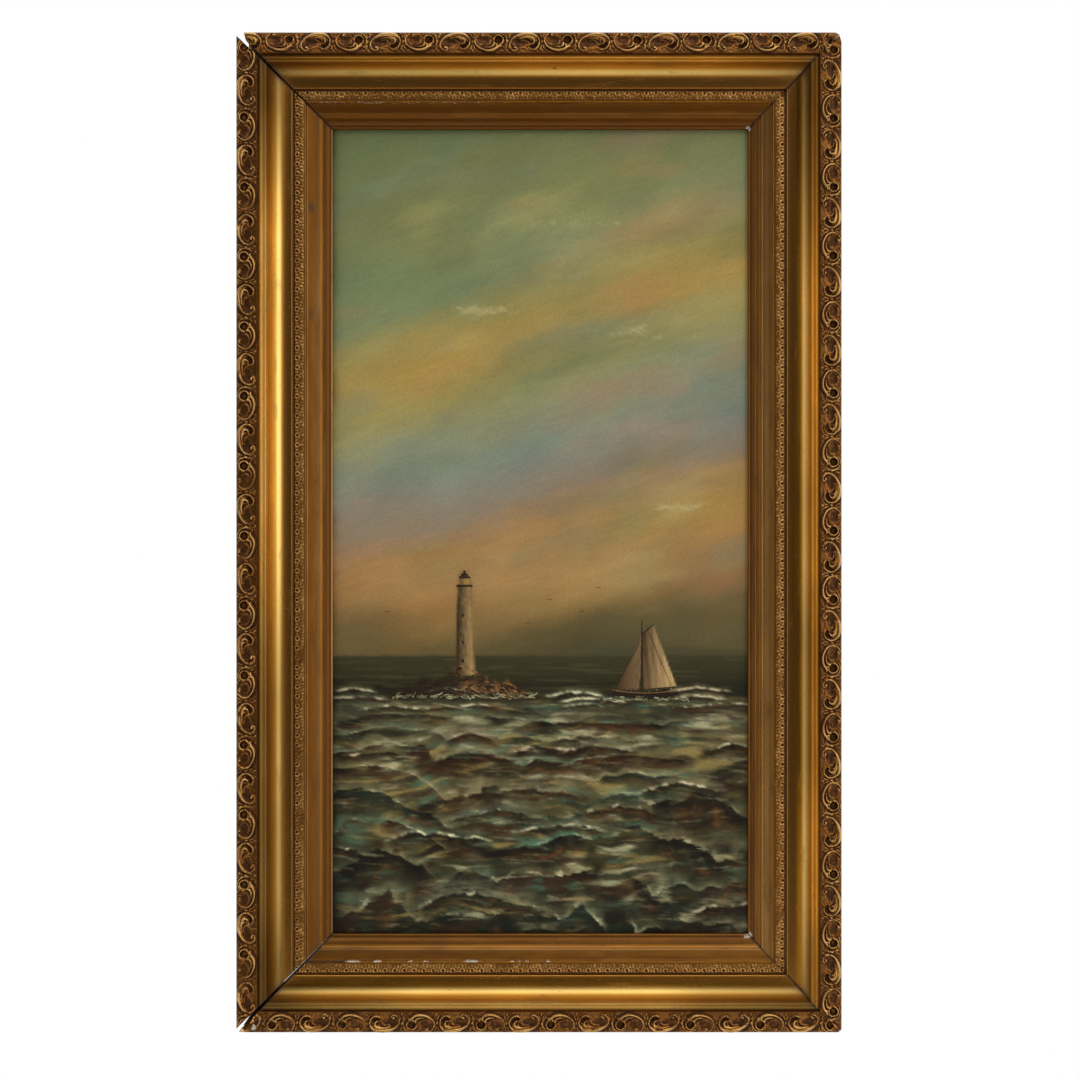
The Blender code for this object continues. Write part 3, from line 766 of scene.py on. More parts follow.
@dataclass(frozen=True)
class Spot:
    """A small oval area of wear on a rail: its middle, its reach and its strength."""

    side: Side
    along: float
    inset: float
    reach_along: float
    reach_inset: float
    strength: float = 1.0

    def share(self, side: Side, along: Array, inset: Array) -> Array:
        """How strong the wear is at places of a rail.

        Args:
            side: The rail.
            along: Millimetres along the rail, from its middle.
            inset: Millimetres in from the outer edge.

        Returns:
            The strength at each place, 0 where there is none.
        """
        if side is not self.side:
            return 0 * along
        gap = ((along - self.along) / self.reach_along) ** 2 + ((inset - self.inset) / self.reach_inset) ** 2
        return self.strength * np.clip(1.6 - gap, 0, 1)


def spotted(spots: tuple[Spot, ...], side: Side, along: Array, inset: Array) -> Array:
    """The strongest of several spots at each place of a rail."""
    return np.maximum.reduce([spot.share(side, along, inset) for spot in spots])


JOINT_CHIPS = tuple(Spot(side, along, 64.1, *size) for side, along, *size in (
    (Side.TOP, -118, 100, 0.8, 0.30), (Side.TOP, -164, 15, 0.8, 0.52), (Side.TOP, -205, 12, 0.7, 0.42),
    (Side.BOTTOM, 179, 8, 0.7, 0.9), (Side.BOTTOM, 155, 4.2, 0.7, 1.15), (Side.BOTTOM, 123.6, 1.8, 0.7, 1.2),
    (Side.BOTTOM, 109, 3, 0.7, 0.8), (Side.BOTTOM, 65, 8.5, 0.8), (Side.BOTTOM, 26.6, 1.6, 0.8),
    (Side.BOTTOM, 19, 1.8, 0.8), (Side.BOTTOM, 12.3, 1.5, 0.7, 0.8), (Side.BOTTOM, -8.6, 1.6, 0.8, 0.9),
))
SIGHT_CHIPS = (
    Spot(Side.TOP, 200.2, 85.8, 2.3, 1.5), Spot(Side.RIGHT, -388, 86.0, 1.8, 1.4),
    Spot(Side.BOTTOM, -199.3, 84.9, 3.6, 1.9), Spot(Side.RIGHT, 388.5, 85.2, 2.8, 1.8),
)
SMUDGES = (
    Spot(Side.LEFT, 312, 68.5, 5.5, 2.6, 0.75), Spot(Side.LEFT, 209, 68.0, 4, 2.2, 0.55),
    Spot(Side.LEFT, 57, 37, 1.6, 0.9, 0.7), Spot(Side.TOP, 15, 33, 1.6, 0.8, 0.8),
    Spot(Side.RIGHT, -120, 70, 8, 2.0, 0.35), Spot(Side.TOP, -60, 79, 14, 1.2, 0.4),
)
RIDGES = (Spot(Side.LEFT, 222, 74.5, 16, 1.6), Spot(Side.LEFT, 60, 80.4, 30, 1.2, 0.6))


@dataclass(frozen=True)
class Places:
    """The grid of a rail's places, with what its finish depends on."""

    side: Side
    along: Array
    inset: Array
    height: Array
    drift: Array

    @property
    def to_end(self) -> Array:
        """Distance from the nearer mitre."""
        return np.minimum(self.along - self.along[0], self.along[-1] - self.along)

    def within(self, low: float, high: float) -> Array:
        """Whether the inset lies between two distances."""
        return (self.inset > low) & (self.inset < high)

    def spots(self, spots: tuple[Spot, ...]) -> Array:
        """The strongest of several spots at each place."""
        return spotted(spots, self.side, self.along, self.inset)


@dataclass
class Moulding:
    """Four mitred rails of one section, gilded in front and bare behind.

    Brightness is painted light: the share of the leaf's brightness kept as the light falls off along the
    rail, at even steps to the right or down as one looks at the rail. Patch is the size of the wear's
    patches across it. Chips dent the front above a height.
    """

    brightness: PerSide[tuple[float, ...]]
    word: str
    seed: int
    patch: float
    dented_above: float
    level_spacing: float = 2.6
    upright_spacing: float = 8
    lit_share: float = 0.86
    chip_depth: float = 0.3
    sharp_angle: float = 38

    def section(self, side: Side) -> list[tuple]:
        """The closed section as places of (inset, height)."""
        raise NotImplementedError

    def is_bare(self, inset: Array, height: Array) -> Array:
        """Which places of the section are bare wood."""
        raise NotImplementedError

    def masks(self, at: Places) -> dict[str, Array]:
        """The finish's masks: pale, matte, dirt, rub, deepen, dim and chip."""
        raise NotImplementedError

    def painted_falloff(self, at: Places) -> Array:
        """How much painted shade dulls the leaf where the light falls off along the rail, most of all at the
        corners.

        Args:
            at: Places on a rail.

        Returns:
            The share of brightness lost at each place.
        """
        values = self.brightness[at.side]
        reach = self.lit_share * LAYOUT.half_length(at.side) / MM
        seen = at.along if at.side in (Side.TOP, Side.RIGHT) else -at.along
        return 1 - np.interp(seen, np.linspace(-reach, reach, len(values)), values)

    def build(self, side: Side, gilding: Material, wood: Material) -> Piece:
        """Makes one rail.

        Args:
            side: Which rail.
            gilding: The finish of its front and side.
            wood: The finish of its back.

        Returns:
            The piece.
        """
        section = np.array(self.section(side)) * MM
        sweep = Sweep(side, section, (self.level_spacing if side.level else self.upright_spacing) * MM)
        along, inset, height = sweep.along / MM, sweep.inset / MM, sweep.height / MM
        noise = Noise(self.seed + side.value)
        drift = noise.cloud(along / (5 * self.patch), inset / self.patch)
        sweep.masks = self.masks(Places(side, along, inset, height, drift))
        chip = sweep.masks["chip"]
        chip = np.clip(chip + 0.25 * (chip > 0.05) * noise.cloud(along / 5, inset), 0, 1)
        sweep.masks["chip"] = chip
        sweep.height -= self.chip_depth * MM * np.clip(2 * chip - 0.8, 0, 1) * (height > self.dented_above)
        name = f"{self.word}_{side.word}"
        mesh = sweep.mesh(name)
        is_bare = self.is_bare(*(section / MM).T)
        back = is_bare & np.roll(is_bare, -1)
        numbers = np.concatenate([np.tile(back, sweep.along.shape[0] - 1), [True, True]])
        mesh.polygons.foreach_set("material_index", numbers.astype(np.int32))
        return show(mesh, f"{name}_dressed", [gilding, wood], name, self.sharp_angle)


@dataclass
class OuterMoulding(Moulding):
    """The four outer rails: side, two fillets, deep cove, small bead and lip, with a plain back."""

    # Painted light: the share of the leaf's brightness kept along each rail as the light falls off toward
    # the corners.
    brightness: PerSide[tuple[float, ...]] = PerSide(
        (0.22, 0.40, 0.50, 0.55, 0.59, 0.73, 0.80, 0.82, 0.71, 0.71, 0.58, 0.36),
        (0.20, 0.36, 0.66, 1, 1, 1, 0.82, 0.92, 0.60, 0.68, 0.70, 1, 0.90, 0.58),
        (0.18, 0.38, 0.48, 0.66, 0.61, 0.71, 0.64, 0.68, 0.67, 0.42, 0.34, 0.26),
        (0.20, 0.53, 1, 0.90, 1, 1, 1, 0.77, 0.53, 0.35, 0.37, 0.30, 0.33, 0.16),
    )
    word: str = "rail"
    seed: int = 40
    patch: float = 6.0
    dented_above: float = 33
    cove_start: float = 29.9
    cove_end: float = 49.8
    cove_top: float = 51.2
    cove_floor: float = 36.3
    cove_steps: int = 28
    width: float = 63.9
    band_edge: float = 20.9
    first_fillet: float = 23.1
    # Painted highlight on the cove's swell for each side: its middle, reach and strength, set where the rail
    # reflects the light.
    swell: PerSide[Three] = PerSide(
        (36.6, 2.6, 0.80), (33.7, 2.6, 0.90), (37.4, 2.8, 0.85), (38.6, 2.7, 0.90))
    # Painted highlight on the fillets for each side, strongest on the bottom and left rails, which face the
    # light.
    worn: PerSide[float] = PerSide(0.12, 0.08, 0.55, 0.40)
    # Dirt in the groove beside the band, with painted shade that is darker on the top and right rails.
    groove_dirt_and_shade: PerSide[float] = PerSide(0.32, 0.32, 0.22, 0.22)
    # Painted highlight on the cove's bead, for each side.
    bead_shine: PerSide[float] = PerSide(0.0, 0.35, 0.35, 0.35)
    # How much of the cove's painted shade the bead keeps, then where the painted shade over the cove's inner
    # half starts and how strong it is.
    bead_shade: PerSide[float] = PerSide(0.9, 0.6, 0.6, 0.6)
    shaded_from: PerSide[float] = PerSide(37.3, 40, 41.6, 40.0)
    depth_of_shade: PerSide[float] = PerSide(1, 1, 0.65, 1)

    def section(self, side: Side) -> list[tuple]:
        """The closed section, from the back up the side and over the front.

        Args:
            side: Which rail. The first fillet is narrower on the level ones.

        Returns:
            Places as (inset, height).
        """
        first = 24.7 if side.level else 23.5
        points = [(3, 0), (3, 8), (3, 33), (2.6, 33.6), (0.3, 35.7), (0, 36.4)]
        points += hollow((0, 45.2), (self.band_edge, 48.6), 0, 8)
        points += [(first, 48.6), (first, 52.3)]
        points += bead(first, 25.9 - first + 0.7 * side.level, 52.3, 1.2, 52.3)
        points += [(26.9, 52.1), (27.6, 52.2)]
        points += bead(27.65, 1.9, 52.2, 0.7, 51.9)
        for i in range(self.cove_steps + 1):
            turn = math.pi / 2 * i / self.cove_steps
            inset = self.cove_end - (self.cove_end - self.cove_start) * math.cos(turn)
            points.append((inset, self.cove_top - (self.cove_top - self.cove_floor) * math.sin(turn)))
        points += bead(self.cove_end + 0.02, 1.26, self.cove_floor, 1.0, 36.2)
        points += [(51.1, 34.3), (63.1, 34.3), (63.1, 35.8)]
        points += bead(63.1, 0.8, 35.8, 0.7, 35.6)
        points += [(self.width, 31.5), (60.1, 31.5), (60.1, 13), (33, 13)]
        return points + hollow((33, 0), (3, 0), 0, 12)[:-1]

    def is_bare(self, inset: Array, height: Array) -> Array:
        """Which places of the section are bare wood."""
        return (height <= 31.5) & (inset >= 3)

    def masks(self, at: Places) -> dict[str, Array]:
        """Painted highlights on the cove's swell, the fillets and the bead; painted shade over the cove's
        inner half and toward the corners; dirt with painted shade in the groove; dirt under the band and in
        joints.

        Args:
            at: The rail's places.

        Returns:
            The masks by name.
        """
        side, along, inset, height, drift = at.side, at.along, at.inset, at.height, at.drift
        is_side = (inset < 3.5) & (height < 45.4)
        open_joint = (side is Side.BOTTOM) * np.clip((along - 184) / 3, 0, 1) * (inset > 62.8)
        # Painted highlight: a pale band on the cove's swell, where each side reflects the light.
        middle, reach, strength = self.swell[side]
        swell = np.exp(-(((inset - middle) / reach) ** 2)) * (strength + 0.08 * drift)
        to_fillet = np.minimum(inset - self.band_edge, self.cove_start + 0.6 - inset)
        fillets = np.clip(to_fillet / 0.3, 0, 1) * (height > 40)
        # Painted highlight on the fillets, stronger on the sides that face the light.
        lines = self.worn[side] * fillets * (inset > self.first_fillet)
        lines = lines * np.clip(1.0 + 0.5 * drift, 0.3, 1.3)
        # Painted highlight on the cove's bead.
        shine = self.bead_shine[side] * at.within(49.9, 51.1) + 0 * along
        rub = 0.15 * at.within(self.first_fillet, 30) + 0.5 * (inset > 63.0) + 0.3 * drift
        # The groove's dirt carries painted shade as well.
        dirt = (
            self.groove_dirt_and_shade[side] * (at.within(20, 25) & (height < 50)) + 0.5 * is_side
            + 0.8 * (at.within(51.0, 63.0) & (height < 35)) + 0.2 * (drift > 0.5) + open_joint
            + 0.75 * np.exp(-at.to_end / 1.6) + 0.25 * np.exp(-at.to_end / 7) + at.spots(SMUDGES))
        # Painted shade over the cove's inner half.
        shaded = np.clip((inset - self.shaded_from[side]) / 4, 0, 1) * np.clip((63.0 - inset) / 0.5, 0.35, 1)
        shaded = shaded * np.where(np.abs(inset - 50.5) > 0.65, 1, self.bead_shade[side])
        return {
            "pale": np.maximum.reduce([swell, lines, shine]),
            "matte": np.clip(np.minimum((inset - 20.9) / 0.3, (35.5 - inset) / 2.5), 0, 1) * (height > 38),
            "dirt": np.clip(dirt, 0, 1),
            "rub": np.clip(rub, 0, 1),
            "deepen": np.maximum(shaded, is_side) * self.depth_of_shade[side],
            # Painted shade on the fillets and cove where the light falls off along the rail.
            "dim": self.painted_falloff(at) * (np.clip((46 - inset) / 4, 0, 1) * (inset > 20)),
            "chip": at.spots(JOINT_CHIPS) * (inset > 62.6),
        }


@dataclass
class SightMoulding(Moulding):
    """The four inner rails: a wide flat, a fillet, two hollows and a sight bead."""

    # Painted light: the share of the leaf's brightness kept along each rail as the light falls off toward
    # the corners.
    brightness: PerSide[tuple[float, ...]] = PerSide(
        (0.75, 0.95, 1, 1, 0.9), (0.45, 0.75, 0.95, 1, 1, 1.0), (0.45, 0.75, 1, 1, 0.9),
        (0.45, 0.85, 1, 1, 0.8, 0.45),
    )
    word: str = "sight_rail"
    seed: int = 60
    patch: float = 5.0
    dented_above: float = 24.8
    # Painted shade for each side, strongest on the top rail.
    tone: PerSide[float] = PerSide(0.72, 0.12, 0.22, 0.32)
    # The next four set painted highlights for each side: a share of them all, the one on the sight bead, the
    # one on the lip and the one on the right rail's flat.
    paleness: PerSide[float] = PerSide(0.2, 1, 1, 1)
    sight_line: PerSide[float] = PerSide(0.0, 0.05, 0.15, 0.60)
    lip: PerSide[float] = PerSide(0.6, 0.6, 0.6, 0.9)
    shine: PerSide[float] = PerSide(0, 0.65, 0, 0)
    # Dirt in the groove behind the first bead, with painted shade that is darker on the right rail.
    groove_dirt_and_shade: PerSide[float] = PerSide(0.30, 0.55, 0.30, 0.30)
    # Painted shadow cast by the outer rail across the flat's outer part, for each side.
    shadow: PerSide[float] = PerSide(0.65, 0.3, 0.65, 0.65)

    def section(self, side: Side) -> list[tuple]:
        """The closed section.

        Args:
            side: Which rail. The section is the same on all of them.

        Returns:
            Places as (inset, height).
        """
        points = [(60.4, 13), (60.4, 31.2), (64.2, 31.2), (64.2, 34.55), (64.35, 34.85)]
        points += hollow((64.6, 34.8), (73.8, 31.9), 0.3, 9)
        points += bead(73.82, 0.96, 31.9, 0.6, 30.8)
        points += hollow((74.82, 30.78), (80.1, 28.4), 0.6, 8)
        points += bead(80.12, 0.96, 28.4, 0.8, 27.7)
        points += hollow((81.12, 27.66), (85.5, 25.3), 0.6, 7)
        points += bead(85.52, 1.77, 25.3, 0.7, 25.0)
        return points + [(87.3, 22.4), (79.8, 22.4), (79.8, 13)]

    def is_bare(self, inset: Array, height: Array) -> Array:
        """Which places of the section are bare wood."""
        return (height <= 31.2) & ((inset <= 64.2) | (height <= 22.4))

    def masks(self, at: Places) -> dict[str, Array]:
        """Beads that are partly rubbed and partly painted highlight, painted highlights on the lip, the
        sight bead and the right rail's flat, dirt in the hollows with painted shade in the grooves, painted
        shade for each side with a painted shadow across the flat, and a tone that is darker toward the
        sight.

        Args:
            at: The rail's places.

        Returns:
            The masks by name.
        """
        side, inset, drift = at.side, at.inset, at.drift
        # Painted highlights on the lip, the sight bead and the right rail's flat; the bead lines are partly
        # rubbed and partly painted highlight.
        pale = (
            0.5 * (np.abs(inset - 74.3) < 0.6) + self.sight_line[side] * (inset > 85.6)
            + self.lip[side] * (inset < 65.6) + 0.35 * (np.abs(inset - 80.6) < 0.55)
            + self.shine[side] * np.exp(-(((inset - 69.6) / 2.2) ** 2)) + 0.12 * drift)
        # The groove's dirt carries painted shade as well, most on the right rail.
        dirt = (
            self.groove_dirt_and_shade[side] * at.within(74.8, 75.8) + 0.22 * at.within(81.0, 85.3)
            + 0.6 * np.exp(-at.to_end / 1.4) + 0.18 * np.clip(drift, 0, 1) + at.spots(SMUDGES))
        # Painted shadow cast by the outer rail across the flat.
        shadow = self.shadow[side] * np.clip((73.4 - inset) / 6.0, 0, 1) * (inset > 65.2)
        # Painted shade for each side with the painted shadow; darker toward the sight.
        deepen = self.tone[side] + shadow + 0.30 * (inset > 74.8) + 0.45 * (inset > 81.0) + 0.2 * drift
        return {
            "pale": np.clip(self.paleness[side] * pale + 0.8 * at.spots(RIDGES), 0, 1),
            "dirt": np.clip(dirt, 0, 1) * (at.height > 22.5),
            "rub": np.clip(0.35 + 0.6 * drift, 0, 1),
            "matte": 0.2 * np.ones_like(inset),
            # Painted shade where the light falls off along the rail.
            "dim": self.painted_falloff(at),
            "deepen": np.clip(deepen, 0, 1) * np.where(inset < 85.4, 1, 0.9 - 1.5 * self.sight_line[side]),
            "chip": np.maximum(at.spots(JOINT_CHIPS) * (inset < 65.2), at.spots(SIGHT_CHIPS)),
        }


def smooth_path(points: Array, samples: int) -> Array:
    """A smooth curve through given points.

    Args:
        points: The points, one per row.
        samples: How many points the curve gets.

    Returns:
        The curve's points.
    """
    points = np.asarray(points, float)
    padded = np.concatenate([[2 * points[0] - points[1]], points, [2 * points[-1] - points[-2]]])
    place = np.linspace(0, len(points) - 1 - 1e-9, samples)
    cell = place.astype(int)
    t = (place - cell)[:, None]
    a, b, c, d = (padded[cell + k] for k in range(4))
    return 0.5 * (2 * b + (c - a) * t + (2 * a - 5 * b + 4 * c - d) * t**2 + (3 * b - a - 3 * c + d) * t**3)


@dataclass(frozen=True)
class Ridge:
    """A raised line of ornament: points of (along, outward, half width, rise)."""

    points: tuple[tuple[float, float, float, float], ...]
    samples: int = 28
    round_top: float = 0.5

    def rise(self, place: Array) -> Array:
        """How high the line stands at each place.

        Args:
            place: Places as rows of (along, outward).

        Returns:
            The rise at each place, 0 outside the line.
        """
        path = smooth_path(self.points, self.samples)
        first, last = path[:-1], path[1:]
        run = last[:, :2] - first[:, :2]
        length = np.maximum((run**2).sum(1), 1e-9)
        offset = place[:, None, :] - first[None, :, :2]
        t = np.clip((offset * run).sum(2) / length, 0, 1)
        gap = np.linalg.norm(offset - t[..., None] * run, axis=2)
        half, top = (first[:, k] + (last[:, k] - first[:, k]) * t for k in (2, 3))
        inside = np.clip(1 - (gap / np.maximum(half, 1e-3)) ** 2, 0, 1)
        return (top * inside**self.round_top).max(1)


@dataclass(frozen=True)
class Dip:
    """A round or oval hollow: its centre, radii and depth."""

    along: float
    outward: float
    radius_along: float
    radius_outward: float
    depth: float

    def fall(self, place: Array) -> Array:
        """How deep the hollow is.

        Args:
            place: Distances along and outward, a row for each place.

        Returns:
            The depth at each place.
        """
        gap = ((place[:, 0] - self.along) / self.radius_along) ** 2
        gap += ((place[:, 1] - self.outward) / self.radius_outward) ** 2
        return self.depth * np.clip(1 - gap, 0, 1) ** 0.6


def blurred(grid: Array, reach: int) -> Array:
    """A grid's running mean.

    Args:
        grid: The grid.
        reach: How many cells it reaches each way.

    Returns:
        The smoothed grid.
    """
    for axis in (0, 1):
        pads = [(0, 0), (0, 0)]
        pads[axis] = (reach + 1, reach)
        total = np.cumsum(np.pad(grid, pads, mode="edge"), axis=axis)
        size = grid.shape[axis]
        high = np.take(total, np.arange(2 * reach + 1, 2 * reach + 1 + size), axis=axis)
        low = np.take(total, np.arange(size), axis=axis)
        grid = (high - low) / (2 * reach + 1)
    return grid


@dataclass(frozen=True)
class Motif:
    """One scroll of the strip, from its middle: its raised lines and its hollows."""

    ridges: tuple[Ridge, ...]
    dips: tuple[Dip, ...] = ()

    def rise(self, place: Array, hand: Random) -> Array:
        """How high the scroll stands at each place.

        Args:
            place: Places as rows of (along, outward).
            hand: Random numbers for the wear of each line.

        Returns:
            The rise at each place, below 0 in the hollows.
        """
        top = np.zeros(len(place))
        for ridge in self.ridges:
            top = np.maximum(top, ridge.rise(place) * (1 + hand.normal(0, 0.10)))
        for dip in self.dips:
            top = top - dip.fall(place) * np.clip(1.6 - top, 0, 1)
        return top


def outward_scroll() -> Motif:
    """The scroll that bulges outward: a broad crest that splits into leaf fingers over a dark pool."""
    rim = Ridge((
        (-8.0, -4.6, 0.55, 1.9), (-6.9, -6.6, 0.55, 2.2), (-8.2, -8.3, 0.6, 2.3), (-11.6, -7.6, 0.6, 2.4),
        (-14.0, -4.0, 0.6, 2.5), (-13.7, -0.4, 0.65, 2.6), (-11.4, 2.9, 0.9, 2.7), (-7.4, 5.2, 1.5, 3.0),
        (-2.6, 6.7, 2.1, 3.4), (2.6, 7.3, 2.5, 3.6), (8.0, 6.7, 2.1, 3.4), (12.0, 4.3, 1.2, 3.0),
        (13.8, 0.6, 0.65, 2.7), (13.0, -3.4, 0.6, 2.5), (10.4, -6.4, 0.6, 2.4), (6.9, -7.3, 0.6, 2.3),
        (4.1, -5.7, 0.6, 2.1),
    ), 56, 0.62)
    leaf = Ridge((
        (-5.0, 3.4, 0.6, 1.8), (-0.6, 4.4, 1.1, 2.5), (4.2, 4.2, 1.8, 3.1), (7.8, 2.9, 1.9, 3.3),
        (9.0, 0.6, 1.4, 2.9), (8.2, -1.4, 0.9, 2.3), (6.6, -2.4, 0.6, 1.6),
    ), 26, 0.7)
    ball = Ridge(((-9.0, -5.7, 1.35, 2.7), (-8.8, -5.5, 1.3, 2.7)), 3)
    fingers = (Ridge(points, samples, 0.7) for samples, points in (
        (16, ((-2.4, 3.4, 0.4, 1.4), (2.0, 3.5, 0.6, 2.1), (5.2, 1.9, 0.6, 2.2), (5.8, -0.4, 0.45, 1.7))),
        (14, ((-4.4, 1.9, 0.4, 1.2), (-0.4, 2.0, 0.5, 1.6), (2.4, 0.6, 0.5, 1.7), (3.0, -1.4, 0.4, 1.3))),
        (12, ((6.0, 5.9, 0.4, 2.6), (10.2, 3.6, 0.5, 2.6), (11.4, 0.4, 0.45, 2.0))),
        (8, ((3.4, -3.6, 0.4, 1.4), (4.2, -2.4, 0.45, 1.8), (5.4, -1.8, 0.4, 1.4))),
    ))
    dips = (Dip(6.7, -4.6, 3.0, 2.2, 1.9), Dip(9.7, -2.2, 2.2, 2.6, 1.4), Dip(-4.8, -1.4, 6.4, 4.0, 0.9))
    return Motif((rim, leaf, ball, *fingers), dips)


def inward_scroll() -> Motif:
    """The scroll that bulges inward: a thin oval line, a round dark eye in a ring, and a leaf below it."""
    rim = Ridge((
        (-5.2, 6.2, 0.5, 1.8), (-6.6, 8.1, 0.55, 2.1), (-10.0, 8.0, 0.55, 2.3), (-13.2, 5.0, 0.55, 2.4),
        (-14.2, 1.0, 0.6, 2.5), (-12.8, -3.0, 0.7, 2.6), (-9.4, -6.0, 0.9, 2.9), (-4.8, -8.0, 1.2, 3.0),
        (0.0, -8.4, 1.4, 3.0), (4.0, -7.4, 1.5, 3.0), (7.2, -5.2, 1.3, 2.9), (10.0, -3.4, 0.7, 2.3),
    ), 44, 0.65)
    ring = []
    for turn in range(-150, 181, 30):
        cos, sin = math.cos(math.radians(turn)), math.sin(math.radians(turn))
        ring.append((7.6 + 4.5 * cos, 1.8 + 4.5 * sin, 0.55 + 0.35 * max(0, sin), 2.4 + 0.7 * max(0, sin)))
    eye = Ridge(tuple(ring), 36, 0.65)
    outer = Ridge((
        (2.6, 6.6, 0.5, 1.9), (7.6, 8.2, 0.6, 2.6), (12.6, 6.6, 0.65, 2.6), (15.2, 2.4, 0.6, 2.4),
        (15.0, -2.6, 0.55, 2.1), (12.6, -6.2, 0.5, 1.8),
    ), 26, 0.65)
    leaves = (Ridge(points, samples, 0.7) for samples, points in (
        (16, ((-4.0, -5.2, 0.5, 1.6), (0.4, -5.2, 0.9, 2.4), (3.4, -3.4, 1.1, 2.7), (3.8, -0.6, 0.8, 2.2))),
        (14, ((-6.6, -3.0, 0.4, 1.2), (-3.0, -2.6, 0.5, 1.6), (-0.4, -0.8, 0.5, 1.6), (0.0, 1.6, 0.4, 1.2))),
        (8, ((5.6, -5.4, 0.6, 2.2), (6.2, -3.8, 0.8, 2.6), (5.6, -2.6, 0.5, 1.8))),
        (8, ((8.2, -5.4, 0.5, 2.0), (9.4, -4.4, 0.6, 2.2), (11.0, -4.6, 0.4, 1.6))),
    ))
    beads = (
        Ridge(((-7.6, 6.4, 1.1, 2.4), (-7.4, 6.5, 1.1, 2.4)), 3),
        Ridge(((0.5, 8.9, 0.9, 2.0), (0.8, 8.9, 0.9, 2.0)), 3),
    )
    dips = (Dip(7.6, 1.8, 3.5, 3.4, 2.6), Dip(-5.6, 1.6, 6.2, 4.0, 0.9))
    return Motif((rim, eye, outer, *leaves, *beads), dips)


def filling() -> Motif:
    """The small leaves in the corners between two scrolls."""
    lines = (
        ((-3.2, 8.8, 0.4, 1.4), (-1.4, 6.6, 0.55, 2.0), (-0.8, 3.8, 0.45, 1.6)),
        ((3.0, 8.8, 0.4, 1.4), (1.4, 6.4, 0.55, 2.0), (0.7, 3.4, 0.45, 1.6)),
        ((-2.8, -8.8, 0.4, 1.2), (-1.5, -6.4, 0.55, 1.9), (-0.7, -3.4, 0.45, 1.5)),
        ((3.4, -8.4, 0.4, 1.2), (1.8, -6.0, 0.55, 1.9), (0.9, -3.0, 0.45, 1.5)),
        ((0.0, 9.2, 0.6, 1.6), (0.1, 8.0, 0.7, 1.9)), ((0.1, -9.2, 0.7, 1.7), (0.0, -7.8, 0.7, 1.8)),
        ((-0.2, -1.0, 0.8, 2.0), (0.0, 0.8, 0.8, 2.1)), ((-5.6, 9.2, 0.4, 1.2), (-3.6, 9.3, 0.5, 1.4)),
        ((3.8, 9.2, 0.4, 1.2), (6.0, 9.4, 0.5, 1.3)), ((-6.4, -9.3, 0.4, 1.0), (-4.2, -9.2, 0.5, 1.3)),
        ((4.4, -9.2, 0.4, 1.1), (6.6, -9.4, 0.4, 1.0)),
    )
    return Motif(tuple(Ridge(line, 8, 0.7) for line in lines))


@dataclass
class CastStrip:
    """A cast strip on each rail: a front in relief over a flat underside that clears its seat.

    Rows and columns are the sizes of the relief's cells across and along the rail. A band has mitres of its
    own.
    """

    word: str
    seed: int
    row: float
    column: float
    start: float
    width: float
    seat: float
    band: bool = False
    clearance: float = 0.3

    def seat_height(self, inset: Array) -> Array:
        """Height of the seat at each distance from the outer edge."""
        return self.seat + 0 * inset

    def ground_height(self, inset: Array) -> Array:
        """Height of the ground that the ornament stands on."""
        raise NotImplementedError

    def carve(self, side: Side, along: Array, inset: Array, noise: Noise) -> tuple[Array, dict[str, Array]]:
        """The front's heights from the wall, and the masks of its finish."""
        raise NotImplementedError

    def build(self, side: Side, finish: Material) -> Piece:
        """Makes one strip.

        Args:
            side: Which rail it lies on.
            finish: Its finish.

        Returns:
            The piece.
        """
        end = self.start + self.width
        insets = np.linspace(self.start, end, round(self.width / self.row) + 1)
        front = np.stack([insets, self.ground_height(insets)], axis=1)
        turned = np.array([end, self.start])
        under = np.stack([turned, self.seat_height(turned) + self.clearance], axis=1)
        sweep = Sweep(side, np.concatenate([front, under]) * MM, self.column * MM, self.band)
        count = len(front)
        along, inset = sweep.along[:, :count] / MM, sweep.inset[:, :count] / MM
        height, masks = self.carve(side, along, inset, Noise(self.seed + side.value))
        sweep.height[:, :count] = height * MM
        for mask, values in masks.items():
            sweep.masks[mask] = np.zeros(sweep.along.shape)
            sweep.masks[mask][:, :count] = values
        name = f"{self.word}_{side.word}"
        return show(sweep.mesh(name), f"{name}_dressed", [finish], name)


